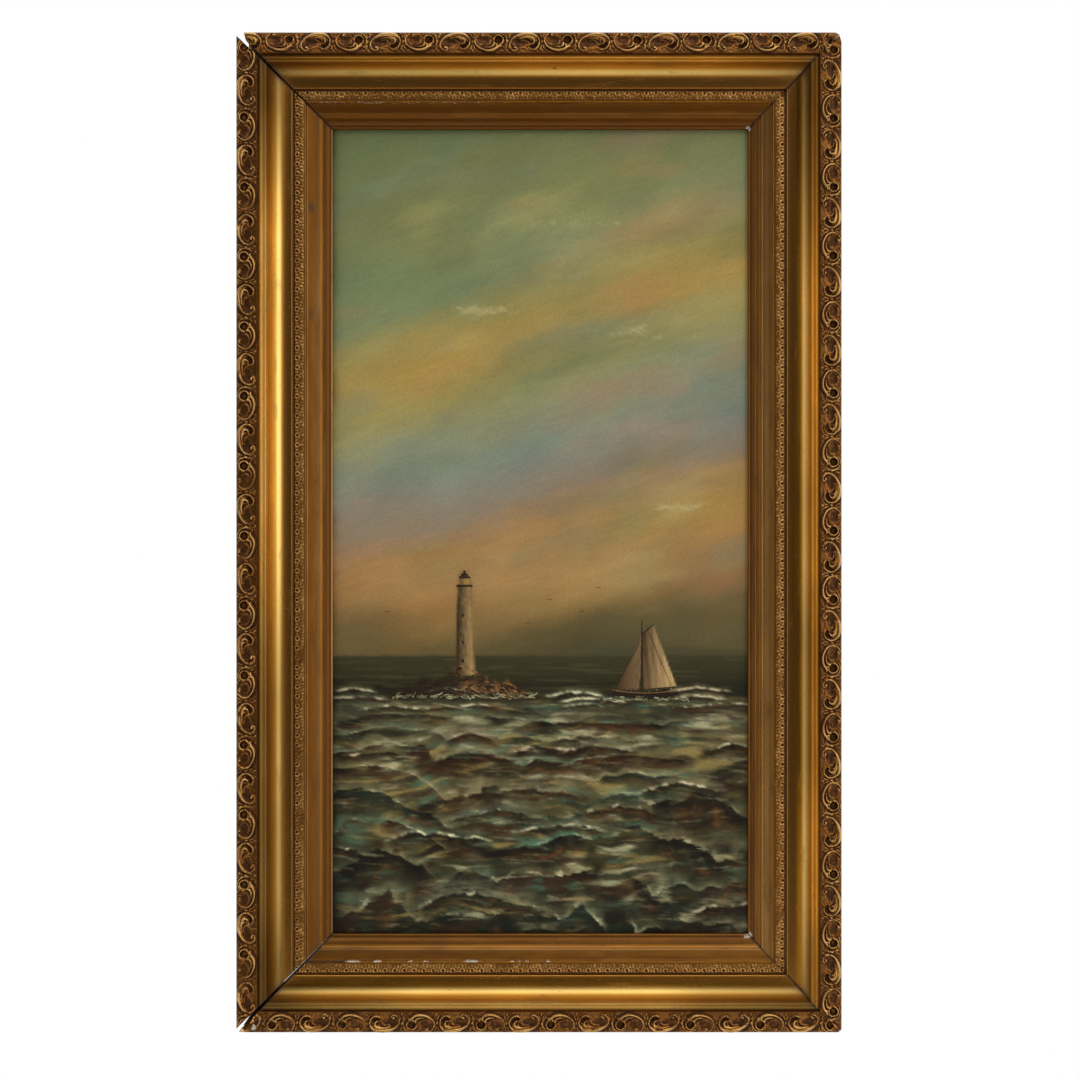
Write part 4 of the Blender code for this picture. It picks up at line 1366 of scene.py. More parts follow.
@dataclass
class ScrollBand(CastStrip):
    """The cast strip along the outer edge: C-scrolls that bulge outward and inward in turn."""

    word: str = "scroll_band"
    seed: int = 80
    row: float = 0.58
    column: float = 0.72
    start: float = 0
    width: float = 20.9
    seat: float = 48.6
    band: bool = True
    seat_fall: float = 3.4
    ground: float = 2.6
    edge: float = 1.6
    outer_margin: float = 0.9
    inner_margin: float = 1.4
    centre: float = 9.7
    highest: float = 54.1
    pitch: PerSide[float] = PerSide(33.0, 32.6, 33.1, 33.1)
    first_eye: PerSide[float] = PerSide(50.8, 82.1, 77.3, 74.6)
    eye_place: float = 7.6
    scroll_reach: float = 17.5
    filling_reach: float = 7.5
    lost: tuple[Spot, ...] = (
        Spot(Side.TOP, 281, 3.5, 4.5, 3.5, 0.7), Spot(Side.RIGHT, -470, 4, 3.5, 3.5, 0.7),
        Spot(Side.BOTTOM, 273.5, 5.5, 6, 4),
        Spot(Side.LEFT, -471, 4, 3, 3, 0.6), Spot(Side.BOTTOM, -281, 3, 3, 3, 0.5),
    )

    def seat_height(self, inset: Array) -> Array:
        """Height of the seat, which falls toward the outer edge."""
        return np.where(inset > 0, self.seat, self.seat - self.seat_fall)

    def ground_height(self, inset: Array) -> Array:
        """Height of the ground: a sloping margin, then a gently rising plane.

        Args:
            inset: Distances from the outer edge.

        Returns:
            The heights.
        """
        edge = self.seat - self.seat_fall + self.edge
        margin = self.seat - self.seat_fall + self.ground
        inner = self.seat + self.ground
        sloping = edge + (margin - edge) * inset / self.outer_margin
        rising = margin + (inner - margin) * (inset - self.outer_margin) / (self.width - self.outer_margin)
        return np.where(inset < self.outer_margin, sloping, rising)

    def relief(self, side: Side, along: Array, inset: Array) -> Array:
        """The scrolls' rise over the ground.

        Args:
            side: Which rail.
            along: Distances along the rail from its middle.
            inset: Distances from the outer edge.

        Returns:
            The rise, in millimetres.
        """
        length, pitch = 2 * LAYOUT.half_length(side) / MM, self.pitch[side]
        first = self.first_eye[side] - self.eye_place
        rise = np.zeros_like(along)
        scrolls, leaves = (inward_scroll(), outward_scroll()), filling()
        hand = np.random.default_rng(7 + side.value)
        warp = Noise(90 + side.value)
        swayed = along + 0.45 * warp.cloud(along / 9, inset / 9, 2)
        out = self.centre - inset + 0.35 * warp.cloud(along / 8 + 40, inset / 8, 2)
        for number in range(-2, int(length / pitch) + 3):
            middle = first + number * pitch - length / 2
            scroll = (scrolls[number % 2], middle, self.scroll_reach)
            for motif, place_of, reach in (scroll, (leaves, middle + pitch / 2, self.filling_reach)):
                columns = np.nonzero((np.abs(along - place_of) < reach + 1).any(1))[0]
                if not len(columns):
                    continue
                part = slice(columns[0], columns[-1] + 1)
                x = (swayed[part] - place_of) * (1 + hand.normal(0, 0.012))
                y = out[part] + hand.normal(0, 0.012) * x + hand.normal(0, 0.15)
                top = motif.rise(np.stack([x.ravel(), y.ravel()], axis=1), hand).reshape(x.shape)
                stronger = (np.abs(x) < reach) & (np.abs(top) > np.abs(rise[part]))
                rise[part] = np.where(stronger, top, rise[part])
        return rise

    def carve(self, side: Side, along: Array, inset: Array, noise: Noise) -> tuple[Array, dict[str, Array]]:
        """The scrolls over a stippled ground with small twigs, worn in places, with a painted highlight on
        the tops of the crests.

        Args:
            side: Which rail.
            along: Distances along the rail from its middle.
            inset: Distances from the outer edge.
            noise: Random field for the wear.

        Returns:
            The heights, and the masks by name.
        """
        rise = self.relief(side, along, inset)
        ground = np.clip(1 - np.abs(rise + 0.3) / 1.1, 0, 1)
        stipple = noise.value(along / 0.8, inset / 0.8)
        twigs = np.clip(1 - 6 * np.abs(noise.value(along / 2.6 + 50, inset / 2.0)), 0, 1)
        rise = rise + ground * (0.20 * stipple + 0.42 * twigs) + 0.12 * noise.cloud(along / 1.7, inset / 1.7)
        to_edge = np.minimum(inset / self.outer_margin, (self.width - inset) / self.inner_margin)
        gone = spotted(self.lost, side, along, inset)
        worn = np.clip(noise.cloud(along / 24, inset / 30 + 5) * 2 - 0.7, 0, 0.5)
        rise = rise * np.clip(to_edge, 0, 1) * (1 - worn) * (1 - 0.9 * np.clip(gone, 0, 1))
        rise = 0.8 * rise + 0.2 * blurred(rise, 1)
        soft = blurred(rise, 4)
        # Painted highlight on the tops of the broad crests; the rims beside it are rubbed.
        crest = 0.55 * np.clip((rise - 2.2) / 1.1, 0, 1)
        uneven = np.clip(0.74 + 0.5 * noise.cloud(along / 14 + 9, inset / 7), 0.25, 1)
        rims = np.clip((rise - soft) / 0.9, 0, 1) * np.clip((rise - 0.9) / 1.3, 0, 1)
        return np.minimum(self.ground_height(inset) + rise, self.highest), {
            "rub": np.maximum(rims * uneven, crest),
            "dirt": np.clip((soft - rise) / 0.9 + 0.35 - rise / 4.5, 0, 1),
            "chip": np.clip(2.2 * (gone - 0.55), 0, 1),
        }


@dataclass
class LeafBand(CastStrip):
    """The narrow cast strip at the foot of the cove: small round holes, each with a soft leaf under it."""

    word: str = "leaf_band"
    seed: int = 100
    row: float = 0.62
    column: float = 0.82
    start: float = 52.6
    width: float = 10.2
    seat: float = 34.3
    ground: float = 1.5
    pitch: float = 9.27
    hole: float = 2.5
    top_wear: float = 0.65

    def ground_height(self, inset: Array) -> Array:
        """Height of the flat ground."""
        return np.full_like(inset, self.seat + self.ground)

    def relief(self, along: Array, across: Array, noise: Noise) -> Array:
        """The rise over the ground.

        Args:
            along: Distances along the rail, 0 at a hole's centre.
            across: Distances from the strip's cove edge.
            noise: Random field for the leaf's small bumps.

        Returns:
            The rise, in millimetres.
        """
        local = along - self.pitch * np.round(along / self.pitch)
        gap = np.hypot(local, across - self.hole)
        facing = 0.55 + 0.45 * np.clip((across - self.hole) / 1.6 + 0.2, -1, 1)
        ring = facing * np.clip(1 - ((gap - 2.05) / 0.62) ** 2, 0, 1) ** 0.6
        pit = -1.1 * np.clip(1 - (gap / 1.45) ** 2, 0, 1) ** 0.6
        dash = 0.9 * np.clip(1 - ((np.abs(local) - self.pitch / 2) / 0.55) ** 2, 0, 1) ** 0.6
        dash = dash * np.clip(1 - ((across - 2.8) / 2.0) ** 2, 0, 1) ** 0.5
        leaf = 0.5 + 0.5 * np.cos(2 * math.pi * local / (self.pitch / 3))
        low = np.clip((across - 4.2) / 0.8, 0, 1) * np.clip((9.3 - across) / 0.8, 0, 1)
        veins = low * (0.25 + 0.40 * leaf * np.clip(1 - ((across - 6.4) / 2.6) ** 2, 0, 1))
        bumps = low * 0.5 * np.clip(noise.value(along / 0.95, across / 0.95) + 0.15, 0, 1)
        return np.maximum.reduce([ring, dash, veins]) + pit + bumps

    def carve(self, side: Side, along: Array, inset: Array, noise: Noise) -> tuple[Array, dict[str, Array]]:
        """The holes and leaves, worn and blurred in places, most of all on the top rail.

        Args:
            side: Which rail.
            along: Distances along the rail from its middle.
            inset: Distances from the outer edge.
            noise: Random field for the wear.

        Returns:
            The heights, and the masks by name.
        """
        across = inset - self.start
        sway = 0.35 * noise.value(along / 40, 0.5)
        rise = self.relief(along + sway, across + 0.2 * noise.value(along / 30, 4.5), noise)
        lost = np.clip(noise.cloud(along / 30, inset / 40 + 3) * 2.4 - 0.4, 0, 0.75)
        if side is Side.TOP:
            lost = np.maximum(lost, self.top_wear * np.clip(0.7 + noise.cloud(along / 12, 8.5), 0, 1))
        rise = rise * (1 - lost) + (0.16 + 0.3 * lost) * noise.cloud(along / 1.3, inset / 1.3)
        rise = rise * np.clip(np.minimum(across, self.start + self.width - inset) / 0.7, 0, 1)
        soft = blurred(rise, 3)
        return self.seat + self.ground + rise, {
            "rub": np.clip((rise - soft) / 0.7 + 0.12, 0, 1),
            "dirt": np.clip((soft - rise) / 0.7 + 0.9 * (across < 1.0), 0, 1),
            "chip": 0 * rise,
        }


@dataclass(frozen=True)
class Patch:
    """A soft oval area of the sky: centre and size as shares of the picture, and its colour."""

    across: float
    down: float
    reach_across: float
    reach_down: float
    tilt: float
    strength: float
    colour: Rgb


@dataclass
class Ground:
    """The painting's colours on a fine grid, worked over with soft-edged strokes."""

    wide: float
    tall: float
    cell: float
    x: Array = field(init=False)
    z: Array = field(init=False)
    colour: Array = field(init=False)

    def __post_init__(self) -> None:
        """Lays out the empty grid."""
        columns, rows = round(self.wide / self.cell) + 1, round(self.tall / self.cell) + 1
        self.x = np.linspace(-self.wide / 2, self.wide / 2, columns)[None, :]
        self.z = np.linspace(self.tall / 2, -self.tall / 2, rows)[:, None]
        self.colour = np.zeros((rows, columns, 3))

    def window(self, x: float, z: float, reach_x: float, reach_z: float) -> tuple[slice, slice]:
        """The cells round a place.

        Args:
            x: The place across.
            z: The place up.
            reach_x: Reach to each side.
            reach_z: Reach up and down.

        Returns:
            Slices of rows and of columns.
        """
        left = int(np.clip((x - reach_x + self.wide / 2) / self.cell, 0, self.x.size - 1))
        right = int(np.clip((x + reach_x + self.wide / 2) / self.cell + 2, 1, self.x.size))
        top = int(np.clip((self.tall / 2 - z - reach_z) / self.cell, 0, self.z.size - 1))
        low = int(np.clip((self.tall / 2 - z + reach_z) / self.cell + 2, 1, self.z.size))
        return slice(top, low), slice(left, right)

    def pick(self, x: Array, z: Array) -> Array:
        """The colours at places.

        Args:
            x: The places across.
            z: The places up.

        Returns:
            One row for each place.
        """
        column = np.clip((np.asarray(x) + self.wide / 2) / self.cell, 0, self.x.size - 1.001)
        row = np.clip((self.tall / 2 - np.asarray(z)) / self.cell, 0, self.z.size - 1.001)
        i, j = row.astype(int), column.astype(int)
        down, over = (row - i)[..., None], (column - j)[..., None]
        upper, lower = (self.colour[k, j] * (1 - over) + self.colour[k, j + 1] * over for k in (i, i + 1))
        return upper * (1 - down) + lower * down

    def blend(self, cells: tuple[slice, slice], share: Array, colour: Array) -> None:
        """Mixes a colour into some cells by a share for each."""
        self.colour[cells] = laid_over(self.colour[cells], share, colour)

    def stroke(
        self, x: float, z: float, length: float, width: float, angle: float, colour: Array,
        strength: float, comb: float = 0.0,
    ) -> None:
        """Lays one soft-edged stroke.

        Args:
            x: Middle across.
            z: Middle up.
            length: Its length.
            width: Its width.
            angle: Turn from the horizontal, in radians.
            colour: Its colour.
            strength: How much it covers, 0 to 1.
            comb: Strength of the bristle lines in it.
        """
        cos, sin = math.cos(angle), math.sin(angle)
        reach_x = abs(cos) * length / 2 + abs(sin) * width / 2
        reach_z = abs(sin) * length / 2 + abs(cos) * width / 2
        cells = self.window(x, z, reach_x, reach_z)
        dx, dz = self.x[:, cells[1]] - x, self.z[cells[0]] - z
        run = (dx * cos + dz * sin) / (length / 2)
        cross = (dz * cos - dx * sin) / (width / 2)
        share = strength * np.clip(1 - run**4, 0, 1) * np.clip(1 - cross**2, 0, 1)
        if comb:
            share = share * (1 - comb * (0.5 + 0.5 * np.sin(cross * 9 + run * 1.5 + x)))
        self.blend(cells, share, colour)

    def shape(self, points: Array, colour_at: Callable[[Array, Array], Array], soft: float = 0.9) -> None:
        """Fills a convex outline, its corners given clockwise, with soft edges.

        Args:
            points: The corners, one per row.
            colour_at: Gives the colours at x and z.
            soft: Width of the edge.
        """
        corners = np.array(points, float)
        low, high = corners.min(0), corners.max(0)
        cells = self.window(*(low + high) / 2, *(high - low) / 2 + soft)
        x, z = np.broadcast_arrays(self.x[:, cells[1]], self.z[cells[0]])
        inside = np.full(x.shape, 1e9)
        for first, last in zip(corners, np.roll(corners, -1, axis=0)):
            run = (last - first) / max(np.linalg.norm(last - first), 1e-6)
            inside = np.minimum(inside, run[1] * (x - first[0]) - run[0] * (z - first[1]))
        self.blend(cells, np.clip(inside / soft + 0.5, 0, 1), colour_at(x, z))


def banded(level: Array, stops: tuple[float, ...], shades: tuple[Rgb, ...]) -> Array:
    """Colours that run from one display colour to the next.

    Args:
        level: Places along the run.
        stops: Where each display colour stands.
        shades: The display colours.

    Returns:
        The colours as light.
    """
    table = np.array([linear(*shade) for shade in shades])
    return np.stack([np.interp(level, stops, table[:, k]) for k in range(3)], axis=-1)


@dataclass
class SeaView:
    """The painting's ground: a sky in slanting bands over a low far coast and a choppy sea.

    Places are shares of the picture, across from the left and down from the top. Colours are display
    colours. An area of another colour is the seed of its noise, the colour, how far the noise is lowered
    and, in the sky, how much of it shows at most. A patch of streaks is its place, how many there are and
    how widely they spread.
    """

    horizon: float = 0.655
    slant: float = 0.18
    cell: float = 0.8
    spare: float = 14
    sky_count: int = 4200
    sea_count: int = 3600
    far_count: int = 300
    near_count: int = 17
    glint_count: int = 420
    sky_bands: tuple[tuple[float, Rgb], ...] = (
        (-0.10, (100, 110, 74)), (0.03, (113, 119, 79)), (0.10, (118, 124, 84)), (0.165, (114, 126, 92)),
        (0.21, (144, 134, 82)), (0.26, (160, 135, 74)), (0.31, (147, 137, 84)), (0.35, (137, 138, 106)),
        (0.385, (122, 132, 116)), (0.42, (127, 125, 114)), (0.46, (135, 120, 102)), (0.495, (159, 123, 80)),
        (0.55, (167, 126, 78)), (0.60, (130, 103, 61)), (0.63, (94, 81, 49)), (0.67, (76, 69, 44)),
    )
    sea_bands: tuple[tuple[float, Rgb], ...] = (
        (0, (57, 54, 34)), (0.05, (52, 49, 29)), (0.11, (36, 33, 20)), (0.15, (48, 46, 31)),
        (0.22, (88, 86, 62)), (0.4, (84, 78, 50)), (0.6, (74, 70, 45)), (0.8, (61, 61, 40)),
        (1.0, (42, 45, 29)),
    )
    patches: tuple[Patch, ...] = (
        Patch(0.88, 0.46, 0.20, 0.035, 0.10, 0.75, (160, 134, 68)),
        Patch(0.78, 0.12, 0.22, 0.022, 0.18, 0.65, (160, 128, 90)),
        Patch(0.62, 0.255, 0.20, 0.018, 0.12, 0.55, (122, 134, 112)),
        Patch(0.55, 0.30, 0.18, 0.020, 0.16, 0.60, (108, 120, 92)),
        Patch(0.10, 0.31, 0.14, 0.05, 0.0, 0.5, (150, 130, 74)),
        Patch(0.12, 0.18, 0.16, 0.03, 0.05, 0.55, (104, 124, 92)),
        Patch(0.90, 0.56, 0.12, 0.02, 0.0, 0.5, (138, 98, 72)),
        Patch(0.70, 0.565, 0.22, 0.018, 0.10, 0.5, (166, 132, 78)),
        Patch(0.65, 0.34, 0.20, 0.02, 0.14, 0.45, (142, 124, 102)),
        Patch(0.36, 0.375, 0.2, 0.02, 0.18, 0.5, (124, 129, 108)),
        Patch(0.05, 0.62, 0.16, 0.05, 0.0, 0.7, (76, 70, 44)),
        Patch(0.95, 0.62, 0.2, 0.03, 0.0, 0.5, (104, 92, 60)),
        Patch(0.45, 0.585, 0.16, 0.03, 0.3, 0.4, (140, 112, 66)),
    )
    sky_areas: tuple[tuple[int, Rgb, float, float], ...] = (
        (61, (172, 160, 108), 0.30, 0.32), (62, (114, 124, 108), 0.30, 0.34),
        (63, (168, 122, 90), 0.45, 0.30), (64, (92, 102, 70), 0.40, 0.30),
    )
    sea_areas: tuple[tuple[int, Rgb, float], ...] = (
        (6, (70, 100, 80), 0.45), (7, (132, 112, 64), 0.55), (8, (146, 142, 112), 0.65),
        (10, (66, 42, 22), 0.35), (11, (36, 34, 22), 0.35),
    )
    streaks: tuple[tuple[float, float, int, float], ...] = (
        (0.36, 0.225, 46, 15), (0.72, 0.250, 26, 14), (0.84, 0.47, 30, 13), (0.58, 0.115, 14, 18),
    )
    lights: tuple[Rgb, ...] = (
        (122, 122, 96), (98, 112, 90), (136, 128, 98), (88, 106, 88), (132, 112, 68), (112, 104, 72),
    )
    darks: tuple[Rgb, ...] = (
        (44, 29, 15), (36, 26, 14), (34, 32, 19), (52, 34, 18), (40, 42, 26), (30, 26, 16),
    )
    glints: tuple[Rgb, ...] = ((126, 126, 96), (140, 118, 70), (90, 118, 96), (160, 154, 124), (70, 44, 22))
    ground: Ground = field(init=False)
    hand: Random = field(default_factory=lambda: np.random.default_rng(21))

    def __post_init__(self) -> None:
        """Paints everything in order, far to near."""
        self.wide, self.tall = (size / MM for size in LAYOUT.inside(LAYOUT.sight_inset))
        self.ground = Ground(self.wide + self.spare, self.tall + self.spare, self.cell)
        self.sky_ground()
        self.sky_strokes()
        self.sea_ground()
        self.waves()
        self.sea_strokes()
        self.edge_shade()

    def across(self, share: float) -> float:
        """Millimetres to the right of the picture's centre, for a share across it."""
        return (share - 0.5) * self.wide

    def down(self, share: float) -> float:
        """Millimetres up from the picture's centre, for a share down it."""
        return (0.5 - share) * self.tall

    def shares(self) -> tuple[Array, Array]:
        """The grid's places as shares across and down the picture."""
        return self.ground.x / self.wide + 0.5, 0.5 - self.ground.z / self.tall

    def sky_ground(self) -> None:
        """The sky's bands and patches, with broken edges."""
        noise = Noise(3)
        s, t = self.shares()
        warp = 0.026 * noise.cloud(s * 3.1 + t * 2, t * 9 + s * 2) + 0.012 * noise.cloud(s * 8, t * 26)
        level = t + self.slant * (s - 0.5) * np.clip(1.15 - t, 0.3, 1) + warp
        colour = banded(level, *zip(*self.sky_bands))
        for patch in self.patches:
            over = (s - patch.across) / patch.reach_across
            low = (t - patch.down + patch.tilt * (s - patch.across) + 0.7 * warp) / patch.reach_down
            colour = laid_over(colour, patch.strength * np.exp(-(over**2) - low**2), linear(*patch.colour))
        clear = np.clip((self.horizon - 0.05 - t) / 0.08, 0, 1)
        for seed, shade, low, most in self.sky_areas:
            area = Noise(seed).cloud(s * 4 + seed, (t + 0.13 * s) * 20, 5)
            colour = laid_over(colour, np.clip(area * 2.4 - low, 0, 1) * most * clear, linear(*shade))
        blotch = noise.cloud(s * 7 + 9, t * 22 + s * 4, 5)[..., None]
        warm = noise.cloud(s * 5 + 31, t * 14 + s * 3, 3)[..., None]
        self.ground.colour[:] = colour * (1 + 0.13 * blotch) * (1 + warm * np.array((0.10, 0.0, -0.10)))

    def sky_strokes(self) -> None:
        """Broken slanting strokes that pick the sky's colour up a little to one side, and pale streaks."""
        hand, ground = self.hand, self.ground
        below = self.down(self.horizon + 0.01)
        for _ in range(self.sky_count):
            x = hand.uniform(-self.wide / 2 - 5, self.wide / 2 + 5)
            z = hand.uniform(below, self.tall / 2 + 5)
            colour = ground.pick(x + hand.normal(0, 5), z + hand.normal(0, 2.5))
            colour = colour * (1 + hand.normal(0, 0.055))
            length = hand.uniform(8, 28)
            width, angle = length * hand.uniform(0.10, 0.24), 0.28 + hand.normal(0, 0.26)
            ground.stroke(x, z, length, width, angle, colour, hand.uniform(0.2, 0.55), 0.5)
        for s, t, count, spread in self.streaks:
            for _ in range(count):
                ground.stroke(
                    self.across(s) + hand.normal(0, spread), self.down(t) + hand.normal(0, 2.4),
                    hand.uniform(5, 18), hand.uniform(1.2, 3.2), 0.24 + hand.normal(0, 0.10),
                    varied((186, 176, 132), 0.1, hand), hand.uniform(0.15, 0.5), 0.6)

    def sea_ground(self) -> None:
        """The sea's colours from the horizon down, its ragged waves, and the low far coast."""
        noise = Noise(5)
        x = self.ground.x
        s, t = self.shares()
        depth = np.clip((t - self.horizon) / (1 - self.horizon), 0, 1) + 0 * s
        colour = banded(depth, *zip(*self.sea_bands))
        near = np.clip((depth - 0.10) * 7, 0, 1)
        level = 6.6 * np.log1p(6.5 * depth)
        sway = noise.cloud(x / 80, level / 2.4, 3)
        low_z = self.ground.z / 9 + 1.6 * sway
        colour = colour * (1 + (0.05 + 0.45 * near[..., None]) * noise.cloud(x / 34, low_z, 5)[..., None])
        for seed, shade, low in self.sea_areas:
            area = Noise(seed).cloud(x / 36 + seed, 1.2 * low_z + seed, 5)
            colour = laid_over(colour, np.clip(area * 2.8 - low, 0, 0.75) * near, linear(*shade))
        colour = self.breakers(colour, level, sway, near)
        line = self.horizon + 0.0010 * noise.value(s * 40, 0.5)
        share = np.clip((t - line) / 0.0018 + 0.5, 0, 1)[..., None]
        coast = 0.012 * np.clip(np.sin(np.clip((s - 0.58) / 0.46, 0, 1) * math.pi), 0, 1) ** 0.6
        coast = coast * (1 + 0.4 * noise.value(s * 16, 2.5))
        land = np.clip((t - (line - coast)) / 0.002, 0, 1) * (coast > 0.0005)
        sky = laid_over(self.ground.colour, 0.75 * land, linear(70, 66, 44))
        self.ground.colour[:] = sky * (1 - share) + np.clip(colour, 0.002, 1) * share

    def breakers(self, colour: Array, level: Array, sway: Array, near: Array) -> Array:
        """Lines of ragged waves: light before each crest, a dark streaked face below it that fades.

        Args:
            colour: The sea's colours.
            level: Place down the sea, one wave to a unit.
            sway: A smooth field that bends the crests.
            near: How fully the waves show, 0 to 1.

        Returns:
            The colours with the waves.
        """
        x = self.ground.x
        ragged = 0.34 * Noise(72).cloud(x / 22, level / 0.9, 4)
        phase = level + 0.9 * sway + ragged + 0.02 * Noise(73).value(x / 3, level)
        row = np.floor(phase)
        tooth = phase - row
        own = Noise(71).cloud(x / 50 + 7.7 * row, 3.1 * row, 3)
        streak = Noise(74).cloud(x / 8 + 1.6 * tooth, tooth / 0.16 + 9.3 * row, 4)
        mask = np.clip(3.4 * own + 0.75, 0, 1) * near
        reach = 0.30 + 0.50 * np.clip(own + 0.3, 0, 1)
        dark = mask * np.exp(-((tooth / reach) ** 3))
        dark = dark * np.clip(1.15 + 0.8 * streak - 0.5 * tooth / reach, 0, 1)
        kind = Noise(75).value(x / 70 + 5 * row, 0.7 * row)[..., None]
        deep = linear(30, 22, 12) + np.clip(kind * 1.6, 0, 1) * linear(54, 30, 12)
        deep = deep + np.clip(-kind * 1.8 - 0.3, 0, 1) * linear(20, 42, 30)
        light = mask * np.clip((tooth - 0.55) / 0.45, 0, 1) ** 1.4 * np.clip(0.75 + 1.2 * streak, 0, 1)
        pale = linear(128, 124, 92) + np.clip(kind * 1.5, 0, 1) * linear(60, 40, 24)
        pale = pale + np.clip(-kind * 2 - 0.1, 0, 1) * (linear(84, 124, 104) - pale)
        warm = 0.45 * mask * np.exp(-(((tooth - 0.42) / 0.14) ** 2)) * np.clip(2 * streak, 0, 1)
        foam = np.clip(2.8 * Noise(76).cloud(x / 9 + 3 * row, row, 4) - 0.4, 0, 1)
        foam = np.clip((tooth - 0.90) / 0.05, 0, 1) * foam * mask
        colour = laid_over(colour, 0.62 * light, pale)
        colour = laid_over(colour, 0.93 * dark, deep)
        colour = laid_over(colour, warm, linear(122, 76, 38))
        return laid_over(colour, 0.65 * foam, linear(164, 158, 128))

    def wave(self, x: float, z: float, wide: float, tall: float, foam: float) -> None:
        """One breaker: light behind its crest, a dark streaked face that fades downward, and foam.

        Args:
            x: Middle across.
            z: Foot of the crest, up from the picture's centre.
            wide: Its width.
            tall: Its height.
            foam: How much foam lies on its crest, 0 to 1.
        """
        hand, ground = self.hand, self.ground
        noise = Noise(int(hand.integers(1, 9999)))
        cells = ground.window(x, z, 0.62 * wide, 3.0 * tall)
        gx, gz = ground.x[:, cells[1]], ground.z[cells[0]]
        u = (gx - x) / (wide / 2)
        peak = hand.uniform(-0.45, 0.45)
        side = np.where(u < peak, (u - peak) / (1 + peak), (u - peak) / (1 - peak))
        crest = tall * (np.clip(1 - np.abs(side) ** 1.3, 0, 1) + 0.34 * noise.cloud(gx / 12, 0.5, 4))
        crest = crest + 0.10 * tall * noise.value(gx / 2.4, 3.5)
        up = gz - z - crest
        ends = np.clip((1 - np.abs(u)) / 0.3 + 0.3 * noise.cloud(gx / 7, gz / 3, 2), 0, 1)
        streak = noise.cloud((gx + 2.2 * (gz - z)) / 8, (gz - z - 0.35 * crest) / 1.5, 4)
        light = varied(self.lights[hand.integers(len(self.lights))], 0.12, hand)
        behind = 0.55 * ends * np.exp(-((up / (0.8 * tall)) ** 2)) * (up > -1)
        ground.blend(cells, behind * np.clip(0.7 + 1.1 * streak, 0, 1.2), light)
        fall = hand.uniform(0.9, 1.5) * tall
        face = np.clip(-up / 0.9, 0, 1) * np.exp(-((np.maximum(-up, 0) / fall) ** 3)) * ends
        face = face * np.clip(1.1 + 0.9 * streak - 0.9 * np.clip(-up / fall - 0.2, 0, 1), 0, 1)
        ground.blend(cells, 0.95 * face, varied(self.darks[hand.integers(len(self.darks))], 0.12, hand))
        warm = 0.5 * np.clip(streak * 2.4 - 0.3, 0, 1) * face
        ground.blend(cells, warm, varied((110, 68, 34), 0.15, hand))
        line = np.exp(-(((up - 0.2) / (0.7 + 0.04 * tall)) ** 2)) * ends
        broken = np.clip(noise.cloud(gx / 6, 7.5, 3) * 2.8 + 1.8 * foam - 0.8, 0, 1)
        ground.blend(cells, 0.85 * line * broken, varied((176, 170, 140), 0.10, hand))

    def waves(self) -> None:
        """Rows of breakers from the far ones to the near, with light strokes between."""
        hand, ground = self.hand, self.ground
        for _ in range(self.far_count):
            shade = (78, 74, 50) if hand.random() < 0.2 else (50, 47, 28)
            ground.stroke(
                self.across(hand.uniform(0, 1)), self.down(self.horizon + hand.uniform(0.003, 0.055)),
                hand.uniform(14, 60), hand.uniform(0.9, 2.4), hand.normal(0, 0.012),
                varied(shade, 0.08, hand), 0.5)
        for row, foam in ((0.701, 0.9), (0.711, 0.8), (0.722, 0.5)):
            for k in range(4):
                self.wave(
                    self.across((k + hand.uniform(0.1, 0.9)) / 4), self.down(row + hand.normal(0, 0.002)),
                    hand.uniform(45, 100), hand.uniform(3, 5), foam)
        for t in np.sort(hand.uniform(0.735, 0.985, self.near_count)):
            near = (t - 0.70) / 0.3
            self.wave(
                self.across(hand.uniform(-0.05, 1.05)), self.down(t), hand.uniform(42, 90) + 50 * near,
                (5 + 9 * near) * hand.uniform(0.7, 1.3), hand.uniform(0, 0.7))
        for _ in range(self.glint_count):
            shade = self.glints[hand.integers(len(self.glints))]
            t = hand.uniform(0.715, 0.99)
            ground.stroke(
                self.across(hand.uniform(0, 1)), self.down(t), hand.uniform(8, 36), hand.uniform(0.9, 2.4),
                hand.normal(0, 0.08), varied(shade, 0.12, hand), hand.uniform(0.15, 0.5), 0.6)

    def sea_strokes(self) -> None:
        """Short strokes that follow the water and pick its colour up to one side."""
        hand, ground = self.hand, self.ground
        for _ in range(self.sea_count):
            t = hand.uniform(0.70, 1.01)
            x, z = self.across(hand.uniform(-0.01, 1.01)), self.down(t)
            colour = ground.pick(x + hand.normal(0, 2.6), z + hand.normal(0, 0.7))
            colour = colour * (1 + hand.normal(0, 0.12))
            ground.stroke(
                x, z, hand.uniform(4, 13), hand.uniform(1.0, 2.2), hand.normal(0, 0.28), colour,
                hand.uniform(0.35, 0.85), 0.5)

    def edge_shade(self) -> None:
        """Stronger darks in the near sea, a painted shadow of the frame along the left, right and top edges,
        most of all at the left, and colours that grow darker toward the bottom and the sea's sides.
        """
        s, t = self.shares()
        light = np.clip(self.ground.colour.mean(-1), 0.002, 1)
        strength = 0.42 * np.clip((t - self.horizon - 0.03) / 0.02, 0, 1)
        self.ground.colour *= ((light / 0.085) ** strength)[..., None]
        ragged = np.clip(0.9 + 0.8 * Noise(77).cloud(t * 34, 0.5, 3), 0.2, 1.6)
        sea = np.clip((t - 0.66) / 0.05, 0, 1)
